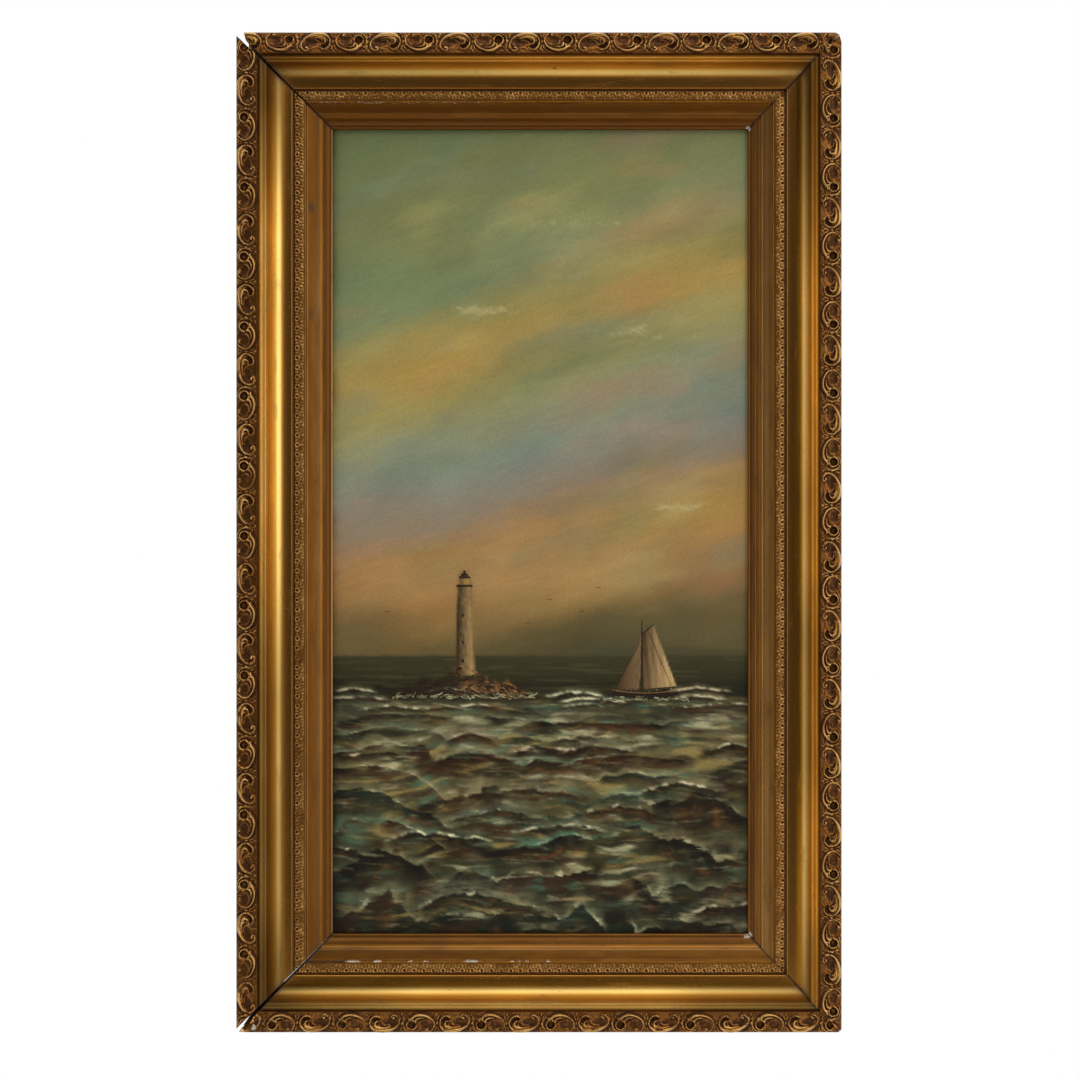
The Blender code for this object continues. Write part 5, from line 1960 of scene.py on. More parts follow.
        # Painted shadow of the frame: a narrow ragged dark band along the left edge, and narrow ones along
        # the right and top. The wider terms darken toward the bottom and the sea's sides.
        edge = 0.55 * ragged * np.exp(-np.clip(s, 0, 1) / 0.011) + 0.16 * np.exp(-(1 - s) / 0.012)
        edge = edge + 0.26 * np.exp(-t / 0.012) + 0.30 * np.exp(-(1 - t) / 0.035)
        edge = edge + 0.35 * np.exp(-s / 0.07) * sea + 0.22 * np.exp(-(1 - s) / 0.06) * sea
        self.ground.colour *= np.clip(1 - edge, 0.2, 1)[..., None]


def keep_paint(mesh: bpy.types.Mesh, colour: Array) -> None:
    """Stores the paint's colour for each vertex."""
    opaque = np.ones((*colour.shape[:-1], 1))
    keep_attribute(mesh, "paint", "FLOAT_COLOR", np.concatenate([colour, opaque], axis=-1))


@dataclass
class PaintedCanvas:
    """The stretched cloth with its turned edges, painted on the front."""

    inset: float = 81.3 * MM
    front: float = 22.1 * MM
    depth: float = 15.1 * MM
    thickness: float = 0.8 * MM
    column: float = 2.0 * MM
    sky_row: float = 2.4 * MM
    sea_row: float = 1.15 * MM
    stroke_turn: float = 0.33
    turned_edge: Rgb = (70, 60, 42)
    darkest: float = 0.0008

    def rows(self, tall: float, line: float) -> Array:
        """The grid's rows, closer together under the horizon.

        Args:
            tall: The picture's height.
            line: The horizon's height over the picture's centre.

        Returns:
            The rows' heights over the picture's centre, from the top down.
        """
        sky = np.linspace(tall / 2, line, round((tall / 2 - line) / self.sky_row) + 1)
        sea = np.linspace(line, -tall / 2, round((line + tall / 2) / self.sea_row) + 1)
        return np.concatenate([sky, sea[1:]])

    def walls(self, rim: Array, half_wide: float, half_tall: float) -> list[Array]:
        """The tray's loops behind the front's rim.

        Args:
            rim: The front's outermost points.
            half_wide: Half the cloth's width.
            half_tall: Half its height.

        Returns:
            The loops: the back edge, the same one inside the wall, and the back of the front.
        """
        loops = []
        back = self.front - self.depth
        behind = self.front - self.thickness
        for height, thick in ((back, 0), (back, self.thickness), (behind, self.thickness)):
            loop = rim.copy()
            loop[:, 1] = -height
            if thick:
                wide, tall = half_wide - thick, half_tall - thick
                loop[:, 0] = np.clip(loop[:, 0], -wide, wide)
                loop[:, 2] = np.clip(loop[:, 2] - LAYOUT.centre_z, -tall, tall) + LAYOUT.centre_z
            loops.append(loop)
        return loops

    def build(self, view: SeaView, exposure: Array, paint: Material, linen: Material) -> Piece:
        """Makes the cloth as a tray with thin walls, open behind.

        Args:
            view: The painting.
            exposure: Multiplier from the painting's colours to the mesh's.
            paint: The finish of its front.
            linen: The finish of its edges and back.

        Returns:
            The piece.
        """
        wide, tall = LAYOUT.inside(self.inset)
        line = (0.5 - view.horizon) * LAYOUT.inside(LAYOUT.sight_inset)[1]
        x = np.linspace(-wide / 2, wide / 2, round(wide / self.column) + 1)
        grid_x, level = np.meshgrid(x, self.rows(tall, line), indexing="ij")
        grid_z = level + LAYOUT.centre_z
        shade = np.clip(view.ground.pick(grid_x / MM, level / MM) * exposure, self.darkest, 1)
        light = shade.sum(-1) / exposure.sum()
        free = np.clip(np.minimum(wide / 2 - np.abs(grid_x), tall / 2 - np.abs(level)) / (10 * MM), 0, 1)
        cloud = Noise(12).cloud(grid_x / 0.012, grid_z / 0.006)
        foam = 0.9 * np.clip(light - 0.12, 0, 0.3) * (level < -0.13)
        swell = free * MM * np.maximum(0.06 * cloud + foam, 0)
        points = np.stack([grid_x, -self.front - swell, grid_z], axis=-1).reshape(-1, 3)
        index = np.arange(grid_x.size).reshape(grid_x.shape)
        faces = np.stack([index[:-1, :-1], index[:-1, 1:], index[1:, 1:], index[1:, :-1]], axis=-1)
        faces = faces.reshape(-1, 4).tolist()
        painted = len(faces)
        above = np.concatenate([index[:-1, 0], index[-1, :-1], index[:0:-1, -1], index[0, :0:-1]])
        loops = self.walls(points[above], wide / 2, tall / 2)
        for number in range(len(loops)):
            below = index.size + number * len(above) + np.arange(len(above))
            faces += np.stack([above, below, np.roll(below, -1), np.roll(above, -1)], axis=-1).tolist()
            above = below
        faces.append(above[::-1].tolist())
        points = np.concatenate([points, *loops])
        mesh = bpy.data.meshes.new("canvas_cloth")
        mesh.from_pydata(points.tolist(), [], faces)
        mesh.polygons.foreach_set("material_index", (np.arange(len(faces)) >= painted).astype(np.int32))
        edges = np.tile(linear(*self.turned_edge), (len(points) - index.size, 1))
        keep_paint(mesh, np.concatenate([shade.reshape(-1, 3), edges]))
        turn = np.where(points[:, 2] > LAYOUT.centre_z + line, self.stroke_turn, 0)
        cos, sin = np.cos(turn), np.sin(turn)
        place = [points[:, 0] * cos + points[:, 2] * sin, points[:, 2] * cos - points[:, 0] * sin, 0 * turn]
        keep_attribute(mesh, "stroke_place", "FLOAT_VECTOR", np.stack(place, axis=-1))
        return show(mesh, "painted_canvas", [paint, linen], "canvas", 50)

    def declare(self, cloth: Piece, strokes: Piece) -> None:
        """Works out the flat size of the cloth stretched over its bars, and does nothing more with it.

        Args:
            cloth: The painted canvas. It is not used.
            strokes: The thick paint. It is not used.
        """
        flat = tuple(size + 2 * self.depth for size in LAYOUT.inside(self.inset))


@dataclass
class Dabs:
    """Brush strokes of thick paint, laid one over another in the order they are added."""

    finish: OilPaint = OilPaint("brush_strokes", bristle=0.14, roughness=0.44)
    canvas_front: float = 22.2 * MM
    layer: float = 0.03 * MM
    cell: float = 1.2 * MM
    steps: int = 5
    lines: tuple[float, ...] = (-1.0, -0.45, 0.45, 1.0)
    profile: tuple[float, ...] = (0, 1.0, 0.9, 0)
    spill: float = 0.8
    darkest: float = 0.0008
    strokes: list[tuple] = field(default_factory=list)

    def add(
        self, x: float, z: float, length: float, width: float, angle: float,
        colour: Array, thick: float, bend: float = 0.0,
    ) -> None:
        """Adds one stroke.

        Args:
            x: Middle, in millimetres from the picture's centre.
            z: Middle, in millimetres up from the picture's centre.
            length: Length in millimetres.
            width: Width in millimetres.
            angle: Turn from the horizontal, in radians.
            colour: Linear colour.
            thick: Thickness of the paint, in millimetres.
            bend: How far the middle is pushed sideways, as a share of the length.
        """
        self.strokes.append((x, z, length, width, angle, thick, bend, *colour))

    def build(self, exposure: Array, view: SeaView) -> Piece:
        """Makes all the strokes as one piece of low domes.

        Args:
            exposure: Multiplier from the painting's colours to the mesh's.
            view: The painting under them.

        Returns:
            The piece.
        """
        data = np.array(self.strokes)
        x, z, length, width, angle, thick, bend = (data[:, k, None, None] for k in range(7))
        colour = np.clip(data[:, 7:] * exposure, self.darkest, 1)
        share = np.linspace(-1, 1, self.steps + 1)[:, None]
        taper = np.clip(1 - np.abs(share) ** 3.2, 0.12, 1) ** 0.5
        taper[0] *= 0.7
        side = np.array(self.lines)
        run = share * length / 2 + 0 * side
        cross = side * taper * width / 2 + bend * length * (1 - share**2)
        cos, sin = np.cos(angle), np.sin(angle)
        wide, tall = view.wide / 2 + self.spill, view.tall / 2 + self.spill
        flat_x = np.clip(x + run * cos - cross * sin, -wide, wide)
        flat_z = np.clip(z + run * sin + cross * cos, -tall, tall)
        level = self.levels(flat_x, flat_z)[:, None, None]
        height = level * self.layer / MM + np.array(self.profile) * taper * thick
        front = -self.canvas_front - height * MM
        points = np.stack([flat_x * MM, front, flat_z * MM + LAYOUT.centre_z], axis=-1)
        index = np.arange(flat_x.size).reshape(flat_x.shape)
        near, far = index[:, :-1], index[:, 1:]
        quads = np.stack([near[..., :-1], far[..., :-1], far[..., 1:], near[..., 1:]], axis=-1)
        mesh = bpy.data.meshes.new("brush_strokes")
        mesh.from_pydata(points.reshape(-1, 3).tolist(), [], quads.reshape(-1, 4).tolist())
        keep_paint(mesh, np.broadcast_to(colour[:, None, None, :], (*flat_x.shape, 3)))
        which = np.arange(len(data))[:, None, None] * 0.37
        lines = np.stack(np.broadcast_arrays(side + 0 * flat_x, share, which), axis=-1)
        keep_attribute(mesh, "stroke_place", "FLOAT_VECTOR", lines)
        return show(mesh, "brush_strokes", [self.finish.material()])

    def levels(self, flat_x: Array, flat_z: Array) -> Array:
        """How many strokes lie under each stroke, from a grid of what has been laid.

        Args:
            flat_x: The strokes' points across, in millimetres.
            flat_z: The strokes' points up, in millimetres.

        Returns:
            One level per stroke.
        """
        cell = self.cell / MM
        column = ((flat_x + 250) / cell).astype(int)
        row = ((flat_z + 450) / cell).astype(int)
        laid = np.zeros((int(500 / cell) + 2, int(900 / cell) + 2))
        found = np.zeros(len(flat_x))
        for k in range(len(flat_x)):
            part = laid[column[k].min():column[k].max() + 1, row[k].min():row[k].max() + 1]
            found[k] = part.max() + 1
            part[:] = np.maximum(part, found[k])
        return found


@dataclass(frozen=True)
class Beacon:
    """A round stone beacon on a broad low rock, lit from the right. Sizes in millimetres.

    A ring of the lantern is its height over the tower, half its width, its own height and its tone. A
    window is its shift to the right, its height over the tower's foot and its width.
    """

    across: float = 0.31
    down: float = 0.705
    rock_reach: float = 66
    rock_top: float = 27
    rock_strokes: int = 420
    rock_dabs: int = 130
    foam_dabs: int = 110
    foot: float = 22
    height: float = 84
    middle: float = 3
    courses: int = 30
    stones: int = 6
    stone: Rgb = (44, 33, 20)
    sunlit: Rgb = (170, 138, 92)
    lantern: tuple[tuple[float, float, float, Rgb], ...] = (
        (0.5, 9.0, 2.2, (48, 36, 22)), (4.6, 4.6, 6.4, (150, 118, 62)), (8.8, 6.2, 2.2, (50, 38, 24)),
        (11.2, 4.0, 2.6, (56, 40, 24)), (13.6, 1.2, 3.4, (44, 32, 20)),
    )
    windows: tuple[Three, ...] = ((0.28, 30, 2.2), (0.28, 56, 1.9), (0.3, 12, 2.4))

    def wall(self, x0: float, x: Array, z: Array) -> Array:
        """The wall's colours at places.

        Args:
            x0: The rock's middle.
            x: The places across.
            z: The places up.

        Returns:
            The colours, lighter to the right.
        """
        side = np.clip((x - x0 - self.middle) / 9, -1, 1)
        light = np.clip(0.36 + 0.52 * side + 0.10 * Noise(51).value(x / 2, z / 3.1), 0.05, 1)
        return laid_over(linear(*self.stone), light, linear(*self.sunlit))

    def crest(self, share: float) -> float:
        """The rock's height at a share from its middle to its side."""
        return self.rock_top * (1 - abs(share) ** 1.3) * (1 + 0.22 * math.sin(9 * share + 1))

    def paint(self, view: SeaView, dabs: Dabs, hand: Random) -> None:
        """Paints the rock, the tower and the foam at its foot.

        Args:
            view: The painting's ground.
            dabs: The thick strokes.
            hand: Random numbers.
        """
        x0, low = view.across(self.across), view.down(self.down)
        for _ in range(self.rock_strokes):
            share = hand.uniform(-1, 1)
            up = hand.uniform(-0.1, 1) * self.crest(share)
            lit = share > -0.1 and hand.random() < 0.34
            tone = (104, 74, 42) if lit else ((36, 25, 14) if hand.random() < 0.75 else (58, 46, 28))
            view.ground.stroke(
                x0 + share * self.rock_reach, low + up, hand.uniform(5, 14), hand.uniform(2.0, 4.5),
                -0.7 * share + hand.normal(0, 0.4), varied(tone, 0.14, hand), 0.8, 0.4)
        base = low + self.foot
        self.tower(view.ground, dabs, hand, x0, base)
        for share, up, wide in self.windows:
            tone = varied((40, 30, 18), 0.03, hand)
            dabs.add(x0 + 1 + share, base + up, 3.6, wide, math.pi / 2, tone, 0.05)
        for _ in range(self.rock_dabs):
            share = hand.uniform(-1, 1)
            tone = (126, 92, 54) if share > 0 and hand.random() < 0.5 else (40, 29, 17)
            dabs.add(
                x0 + share * (self.rock_reach - 2), low + hand.uniform(0, 1) * self.crest(share),
                hand.uniform(3, 9), hand.uniform(0.8, 2.0), -0.8 * share + hand.normal(0, 0.4),
                varied(tone, 0.15, hand), 0.12, hand.normal(0, 0.1))
        for _ in range(self.foam_dabs):
            share = hand.uniform(-1.15, 1.15)
            tone = (148, 142, 114) if hand.random() < 0.35 else (98, 94, 70)
            dabs.add(
                x0 + share * 62, low - 2 + abs(hand.normal(0, 2.2)), hand.uniform(2, 8),
                hand.uniform(0.6, 1.5), hand.normal(0, 0.45), varied(tone, 0.12, hand), 0.18,
                hand.normal(0, 0.12))

    def tower(self, ground: Ground, dabs: Dabs, hand: Random, x0: float, base: float) -> None:
        """Paints the tower's courses of stone and its lantern.

        Args:
            ground: The painting's ground.
            dabs: The thick strokes.
            hand: Random numbers.
            x0: The rock's middle.
            base: The tower's foot.
        """
        left, right, top = x0 - 6.4, x0 + 12.4, base + self.height
        corners = [(left, base - 2), (left + 3, top), (right - 3, top), (right, base - 2)]
        ground.shape(corners, partial(self.wall, x0))
        for row in range(self.courses):
            part = (row + 0.5) / self.courses
            half = 9.4 - 3.0 * part
            for column in range(self.stones):
                side = (column + 0.5) / (self.stones / 2) - 1
                x, z = x0 + self.middle + side * half * 0.84, base + part * self.height
                tone = self.wall(x0, np.array(x), np.array(z)) * (1 + hand.normal(0, 0.09))
                dabs.add(x, z, 4.2, half * 0.34, math.pi / 2 + hand.normal(0, 0.12), tone, 0.08)
        for up, half, tall, tone in self.lantern:
            for column in range(5):
                side = (column + 0.5) / 2.5 - 1
                shade = varied(tone, 0.05, hand) * (0.8 + 0.35 * side)
                x, wide = x0 + self.middle + side * half * 0.8, max(half * 0.5, 0.8)
                dabs.add(x, top + up, tall, wide, math.pi / 2, shade, 0.1)


@dataclass(frozen=True)
class Boat:
    """A small open boat with two plain sails. Places from its middle and foot, in millimetres.

    A spar is its middle, its length, its width and its turn.
    """

    across: float = 0.745
    down: float = 0.712
    dark: Rgb = (62, 40, 22)
    cream: Rgb = (178, 148, 104)
    main: tuple[tuple[float, float], ...] = ((1, 11), (1.6, 66), (11, 74), (33, 15))
    fore: tuple[tuple[float, float], ...] = ((-26, 11), (-1, 60), (-2.5, 13))
    main_dabs: int = 150
    fore_dabs: int = 60
    foam_dabs: int = 70
    planks: int = 17
    spars: tuple[tuple[float, ...], ...] = (
        (0, 42, 76, 1.3, math.pi / 2), (6, 70, 14, 0.9, 0.75), (17, 13, 34, 1.0, 0.08),
        (-13, 37, 66, 0.45, 1.09), (18, 40, 74, 0.4, 1.98),
    )

    def mainsail(self, x0: float, x: Array, z: Array) -> Array:
        """The main sail's colours at places across and up, lighter away from its mast."""
        light = np.clip((x - x0 + 2) / 26 + 0.10 * np.sin(x * 0.9 + z * 0.1), 0, 1) ** 1.2
        return laid_over(linear(*self.dark), light, linear(*self.cream))

    def foresail(self, x0: float, x: Array, z: Array) -> Array:
        """The fore sail's colours at places across and up, darker than the main sail's."""
        light = 0.45 * np.clip((x - x0 + 26) / 34 + 0 * z, 0, 1)
        return laid_over(linear(*self.dark), light, linear(*self.cream))

    def paint(self, view: SeaView, dabs: Dabs, hand: Random) -> None:
        """Paints the sails, the hull, the spars and the foam along the hull.

        Args:
            view: The painting's ground.
            dabs: The thick strokes.
            hand: Random numbers.
        """
        x0, foot = view.across(self.across), view.down(self.down)
        sails = ((self.main, self.mainsail, self.main_dabs), (self.fore, self.foresail, self.fore_dabs))
        for corners, tone_of, count in sails:
            corners = np.array(corners) + (x0, foot)
            view.ground.shape(corners, partial(tone_of, x0), 1.0)
            for x, z in hand.dirichlet(np.full(len(corners), 0.8), count) @ corners:
                tone = tone_of(x0, np.array(x), np.array(z)) * (1 + hand.normal(0, 0.10))
                lean = math.pi / 2 + 0.012 * (x - x0) * 0.6
                dabs.add(
                    x, z, hand.uniform(4, 11), hand.uniform(0.7, 1.6), lean + hand.normal(0, 0.07),
                    tone, 0.06)
        for k in range(self.planks):
            share = 2 * k / (self.planks - 1) - 1
            x = x0 + 3 + share * 29
            hull, gunwale = varied((34, 24, 14), 0.08, hand), varied((122, 92, 58), 0.1, hand)
            dabs.add(x, foot + 5.5 + 2.4 * share**2, 6.5, 5.0 - 1.8 * share**2, 0.10 * share, hull, 0.1)
            dabs.add(x, foot + 8.4 + 2.6 * share**2, 5.5, 0.8, 0.16 * share, gunwale, 0.08)
        for x, z, length, width, angle in self.spars:
            dabs.add(x0 + x, foot + z, length, width, angle, varied((38, 27, 16), 0.03, hand), 0.08)
        for _ in range(self.foam_dabs):
            share = hand.uniform(-1.1, 1.2)
            tone = (156, 150, 122) if hand.random() < 0.35 else (98, 94, 70)
            dabs.add(
                x0 + 3 + share * 34, foot + 1.5 + abs(hand.normal(0, 1.6)), hand.uniform(2, 7),
                hand.uniform(0.5, 1.3), hand.normal(0, 0.4), varied(tone, 0.12, hand), 0.16,
                hand.normal(0, 0.12))


@dataclass(frozen=True)
class Touch:
    """A kind of loose stroke on the sea: the ground's light that it goes with, how often, and its ranges."""

    over: float
    under: float
    chance: float
    length: tuple[float, float]
    width: tuple[float, float]
    turn: float
    tint: tuple[float, float]
    bend: float
    thick: float = 0.08
    uneven: float = 0.0

    def lay(self, x: float, z: float, size: float, colour: Array, dabs: Dabs, hand: Random) -> None:
        """Lays one stroke.

        Args:
            x: Middle across.
            z: Middle up.
            size: Multiplier of its length and width.
            colour: The ground's colour there.
            dabs: The thick strokes.
            hand: Random numbers.
        """
        length, width = hand.uniform(*self.length) * size, hand.uniform(*self.width) * size
        turn, shade = hand.normal(0, self.turn), colour * hand.uniform(*self.tint)
        thick = self.thick + self.uneven * hand.random() if self.uneven else self.thick
        dabs.add(x, z, length, width, turn, shade, thick, hand.normal(0, self.bend))


@dataclass
class Painter:
    """Paints the picture: its ground, then the beacon, the boat, the gulls and the foam in thick strokes.

    A gull is its place as shares across and down the picture, and its size in millimetres.
    """

    exposure: Rgb = (1.42, 1.39, 1.27)
    view: SeaView = field(default_factory=SeaView)
    dabs: Dabs = field(default_factory=Dabs)
    cloth: PaintedCanvas = field(default_factory=PaintedCanvas)
    motifs: tuple[Beacon | Boat, ...] = (Beacon(), Boat())
    hand: Random = field(default_factory=lambda: np.random.default_rng(33))
    gulls: tuple[Three, ...] = (
        (0.52, 0.585, 4.2), (0.60, 0.60, 3.2), (0.47, 0.615, 2.6), (0.64, 0.57, 3.0), (0.13, 0.60, 3.0),
    )
    foam_tries: int = 9000
    touches: tuple[Touch, ...] = (
        Touch(0.62, math.inf, 0.55, (1.4, 5.0), (0.5, 1.3), 0.5, (1.05, 1.5), 0.1, 0.12, 0.1),
        Touch(0.36, math.inf, 0.16, (4, 14), (0.5, 1.2), 0.12, (1.1, 1.35), 0.05),
        Touch(-math.inf, 0.16, 0.10, (3, 9), (0.6, 1.3), 0.35, (0.75, 1.5), 0.08),
    )

    def foam(self) -> None:
        """Broken foam where the ground is lightest, and light and dark touches that follow the water."""
        hand, view = self.hand, self.view
        for _ in range(self.foam_tries):
            t = hand.uniform(0.695, 0.995)
            x, z = view.across(hand.uniform(0.005, 0.995)), view.down(t)
            colour = view.ground.pick(x, z)
            size = 0.6 + 0.5 * np.clip((t - 0.69) / 0.3, 0, 1)
            for touch in self.touches:
                if touch.over < colour.sum() < touch.under and hand.random() < touch.chance:
                    touch.lay(x, z, size, colour, self.dabs, hand)
                    break

    def birds(self) -> None:
        """A few gulls, each two short bent strokes."""
        for s, t, size in self.gulls:
            x, z = self.view.across(s), self.view.down(t)
            for sign in (-1, 1):
                shade = varied((46, 40, 28), 0.05, self.hand)
                self.dabs.add(x + sign * size * 0.45, z, size, 0.5, sign * 0.35, shade, 0.06, 0.12)

    def paint(self, finish: Material, linen: Material) -> None:
        """Lays everything in order and makes the cloth and the piece of thick strokes.

        Args:
            finish: The paint's finish.
            linen: The finish of the cloth's edges and back.
        """
        exposure = np.array(self.exposure)
        for motif in self.motifs:
            motif.paint(self.view, self.dabs, self.hand)
        self.birds()
        self.foam()
        LOG.info("painted %d strokes", len(self.dabs.strokes))
        cloth = self.cloth.build(self.view, exposure, finish, linen)
        self.cloth.declare(cloth, self.dabs.build(exposure, self.view))


@dataclass
class ScrewEyes:
    """The two wire eyes on the back of the side rails."""

    drop: float = -267 * MM
    reach: float = 242.5 * MM
    wire: float = 1.9 * MM
    ring: float = 10.6 * MM
    ring_y: float = -7.0 * MM
    shank_end: float = -21.7 * MM
    neck: float = 1.5 * MM
    closing: float = 338
    steps: int = 40

    def build(self, side: Side, steel: Material) -> Piece:
        """Makes one eye from a round wire.

        Args:
            side: Left or right.
            steel: Its finish.

        Returns:
            The piece.
        """
        radius = (self.ring - self.wire) / 2
        path = [(0, self.shank_end, 0), (0, self.ring_y - radius - self.neck, 0)]
        for i in range(self.steps + 1):
            turn = math.radians(-90 + self.closing * i / self.steps)
            path.append((0, self.ring_y + radius * math.sin(turn), radius * math.cos(turn)))
        reach = -self.reach if side is Side.LEFT else self.reach
        path = np.array(path) + np.array([reach, 0, self.drop])
        name = f"screw_eye_{side.word}"
        curve = bpy.data.curves.new(name, "CURVE")
        curve.dimensions = "3D"
        curve.bevel_depth = self.wire / 2
        curve.bevel_resolution = 4
        curve.use_fill_caps = True
        spline = curve.splines.new("POLY")
        spline.points.add(len(path) - 1)
        for point, place in zip(spline.points, path):
            point.co = (*place, 1)
        made = bpy.data.objects.new("wire", curve)
        mesh = bpy.data.meshes.new_from_object(made)
        bpy.data.objects.remove(made)
        return show(mesh, f"{name}_dressed", [steel], name, 40)


@dataclass
class Studio:
    """A pale floor, soft light from all round the picture, and the camera in front of it.

    The camera stands off the picture's middle by shares of the view's width. The middle is the place of the
    frame's centre in the square view, in pixels. A stop of the light is a direction, from 0 behind the
    picture to 1 straight in front of it, and how strong the light from there is.
    """

    distance: float = 1.5
    lens: float = 52.62
    sensor: float = 36
    offset_x: float = 0.085
    offset_z: float = 0.06
    frame_front: float = -46.8 * MM
    pixels: float = 1080
    middle: tuple[float, float] = (538.95, 532.35)
    floor_drop: float = 1.45
    floor_reach: float = 2.6
    brightness: float = 1.48
    stops: tuple[tuple[float, float], ...] = (
        (0.0, 0.50), (0.42, 0.47), (0.60, 0.46), (0.655, 0.50), (0.695, 1.0), (0.815, 1.0), (0.86, 0.40),
        (0.93, 0.12), (1.0, 0.09),
    )

    def camera(self) -> None:
        """Places the camera a little right of and above the picture, level with it."""
        data = bpy.data.cameras.new("camera")
        data.lens = self.lens
        data.sensor_width = self.sensor
        data.sensor_fit = "HORIZONTAL"
        data.shift_x, data.shift_y = -self.offset_x, -self.offset_z
        data.clip_start, data.clip_end = 0.01, 50
        camera = bpy.data.objects.new("camera", data)
        view = self.sensor / self.lens * self.distance
        right = (self.middle[0] - self.pixels / 2) / self.pixels * view
        up = (self.pixels / 2 - self.middle[1]) / self.pixels * view
        camera.location = (
            self.offset_x * view - right, self.frame_front - self.distance,
            LAYOUT.centre_z + self.offset_z * view - up)
        camera.rotation_euler = (math.pi / 2, 0, 0)
        bpy.context.scene.collection.objects.link(camera)
        bpy.context.scene.camera = camera

    def world(self) -> None:
        """Light that is strongest in a ring round the view, most of all above and to the right."""
        world = bpy.data.worlds.new("studio")
        bpy.context.scene.world = world
        world.use_nodes = True
        world.node_tree.nodes.clear()
        nodes = Nodes(world.node_tree)
        place = nodes.here("Generated")
        sideways = nodes.plus(nodes.axis(place, 0, -0.13), nodes.axis(place, 2, -0.044))
        ramp = nodes.add("ShaderNodeValToRGB")
        nodes.put(ramp.inputs[0], nodes.plus(nodes.axis(place, 1, -0.48), sideways, 0.5))
        while len(ramp.color_ramp.elements) < len(self.stops):
            ramp.color_ramp.elements.new(0.5)
        for element, (stop, value) in zip(ramp.color_ramp.elements, self.stops):
            element.position = stop
            element.color = (value, value, value, 1)
        up = nodes.axis(place, 2, 1.0)
        tall = nodes.times(nodes.times(up, up), 0.685)
        shape = nodes.plus(nodes.axis(place, 0, 0.455), nodes.axis(place, 2, 0.25), tall, 1.0)
        strength = nodes.times(ramp.outputs[0], nodes.times(shape, self.brightness))
        light = nodes.made("ShaderNodeBackground", 0, {"Strength": strength})
        seen = nodes.made("ShaderNodeBackground", 0, {"Color": (1, 1, 1)})
        is_seen = nodes.made("ShaderNodeLightPath", "Is Camera Ray", {})
        both = nodes.made("ShaderNodeMixShader", 0, {0: is_seen, 1: light, 2: seen})
        nodes.put(nodes.add("ShaderNodeOutputWorld").inputs[0], both)

    def floor(self) -> None:
        """A plain pale floor, well below the hanging picture."""
        size, z = self.floor_reach, LAYOUT.centre_z - self.floor_drop
        corners = [(-size, -size, z), (size, -size, z), (size, size / 2, z), (-size, size / 2, z)]
        mesh = bpy.data.meshes.new("floor")
        mesh.from_pydata(corners, [], [(0, 1, 2, 3)])
        nodes = Finish("pale_floor")
        mottle = nodes.noise(nodes.here(), 6, 3, 0.5)
        mesh.materials.append(nodes.done(
            Base_Color=nodes.mix(mottle, (0.80, 0.80, 0.79), (0.84, 0.84, 0.83)), Roughness=0.7))
        floor = bpy.data.objects.new("floor", mesh)
        bpy.context.scene.collection.objects.link(floor)

    def build(self) -> None:
        """Sets up the floor, light and camera, and a plain view of the colours."""
        self.floor()
        self.world()
        self.camera()
        bpy.context.scene.view_settings.view_transform = "Standard"
        LOG.info("studio set")


def bare_woods(name: str, fine: float) -> dict[bool, Material]:
    """Bare wood for upright pieces, under False, and for level ones, under True."""
    words = {False: "upright", True: "level"}
    return {level: BareWood(f"{name}_{word}", level, fine).material() for level, word in words.items()}


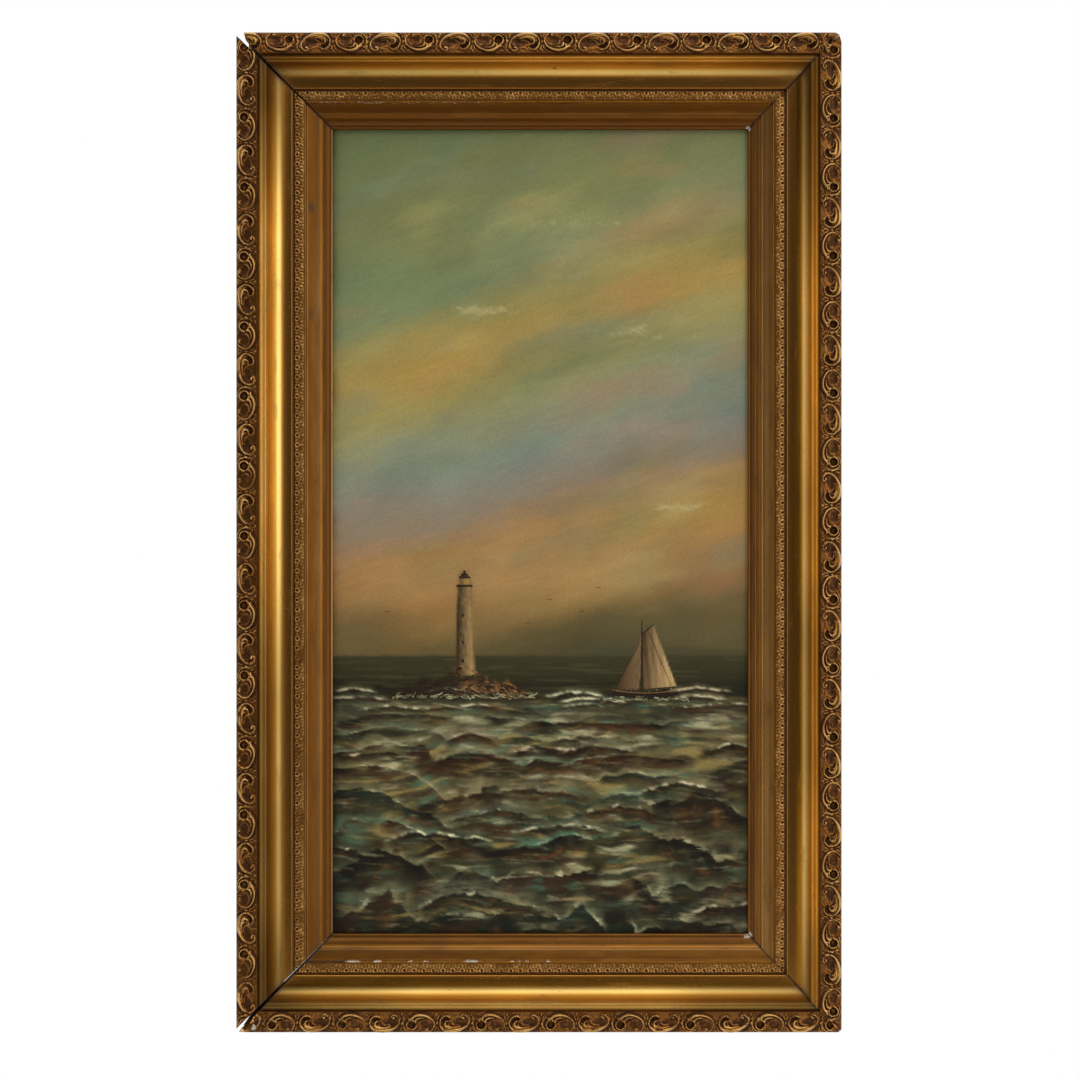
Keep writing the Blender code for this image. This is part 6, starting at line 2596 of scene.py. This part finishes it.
@dataclass
class FramedPainting:
    """The whole object, built in order."""

    outer: OuterMoulding = field(default_factory=OuterMoulding)
    sight: SightMoulding = field(default_factory=SightMoulding)
    scrolls: ScrollBand = field(default_factory=ScrollBand)
    leaves: LeafBand = field(default_factory=LeafBand)
    painter: Painter = field(default_factory=Painter)
    eyes: ScrewEyes = field(default_factory=ScrewEyes)
    gilding: ToneGilding = ToneGilding()
    # The sight rails' gilding: its pale is the colour of painted highlights, its deep the colour of painted
    # shade and of a tone darker toward the sight.
    dull_gilding: ToneGilding = ToneGilding(
        "dull_gilding", leaf=(0.56, 0.260, 0.058), streak=(0.42, 0.165, 0.026), pale=(0.70, 0.46, 0.17),
        deep=(0.19, 0.068, 0.009), roughness=0.36)
    ornament: CastOrnament = CastOrnament("cast_ornament")
    leaf_ornament: CastOrnament = CastOrnament(
        "cast_leaf_band", rim=(0.72, 0.39, 0.12), face=(0.28, 0.118, 0.024), hollow=(0.070, 0.024, 0.006),
        roughness=0.38)
    rail_grain: float = 80
    bar_grain: float = 90

    def frame(self) -> None:
        """Makes the mouldings and the ornament of the four sides."""
        gilding, dull = self.gilding.material(), self.dull_gilding.material()
        ornament, leaf = self.ornament.material(), self.leaf_ornament.material()
        wood = bare_woods("rail_wood", self.rail_grain)
        for side in Side:
            self.outer.build(side, gilding, wood[side.level])
            self.sight.build(side, dull, wood[side.level])
            self.scrolls.build(side, ornament)
            self.leaves.build(side, leaf)

    def dress_bars(self, nodes: dict[str, Piece]) -> None:
        """Gives each stretcher bar, kept as it is, wood that runs along it.

        Args:
            nodes: The frame's nodes by name.
        """
        wood = bare_woods("pine", self.bar_grain)
        for side in Side:
            bar = nodes[f"stretcher_{side.word}"]
            bar.data.materials.clear()
            bar.data.materials.append(wood[side.level])
            LOG.info("%s dressed", bar.name)

    def build(self, nodes: dict[str, Piece]) -> None:
        """Makes and dresses every piece.

        Args:
            nodes: The frame's nodes by name.
        """
        self.frame()
        self.painter.paint(OilPaint("painted_ground").material(), RawLinen().material())
        self.dress_bars(nodes)
        steel = DullSteel().material()
        for side in (Side.LEFT, Side.RIGHT):
            self.eyes.build(side, steel)


def main() -> None:
    """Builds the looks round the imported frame."""
    logging.basicConfig(level=logging.INFO, format="%(name)s: %(message)s")
    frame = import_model()
    FramedPainting().build(frame["nodes"])
    Studio().build()
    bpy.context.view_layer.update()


if __name__ == "__main__":
    main()
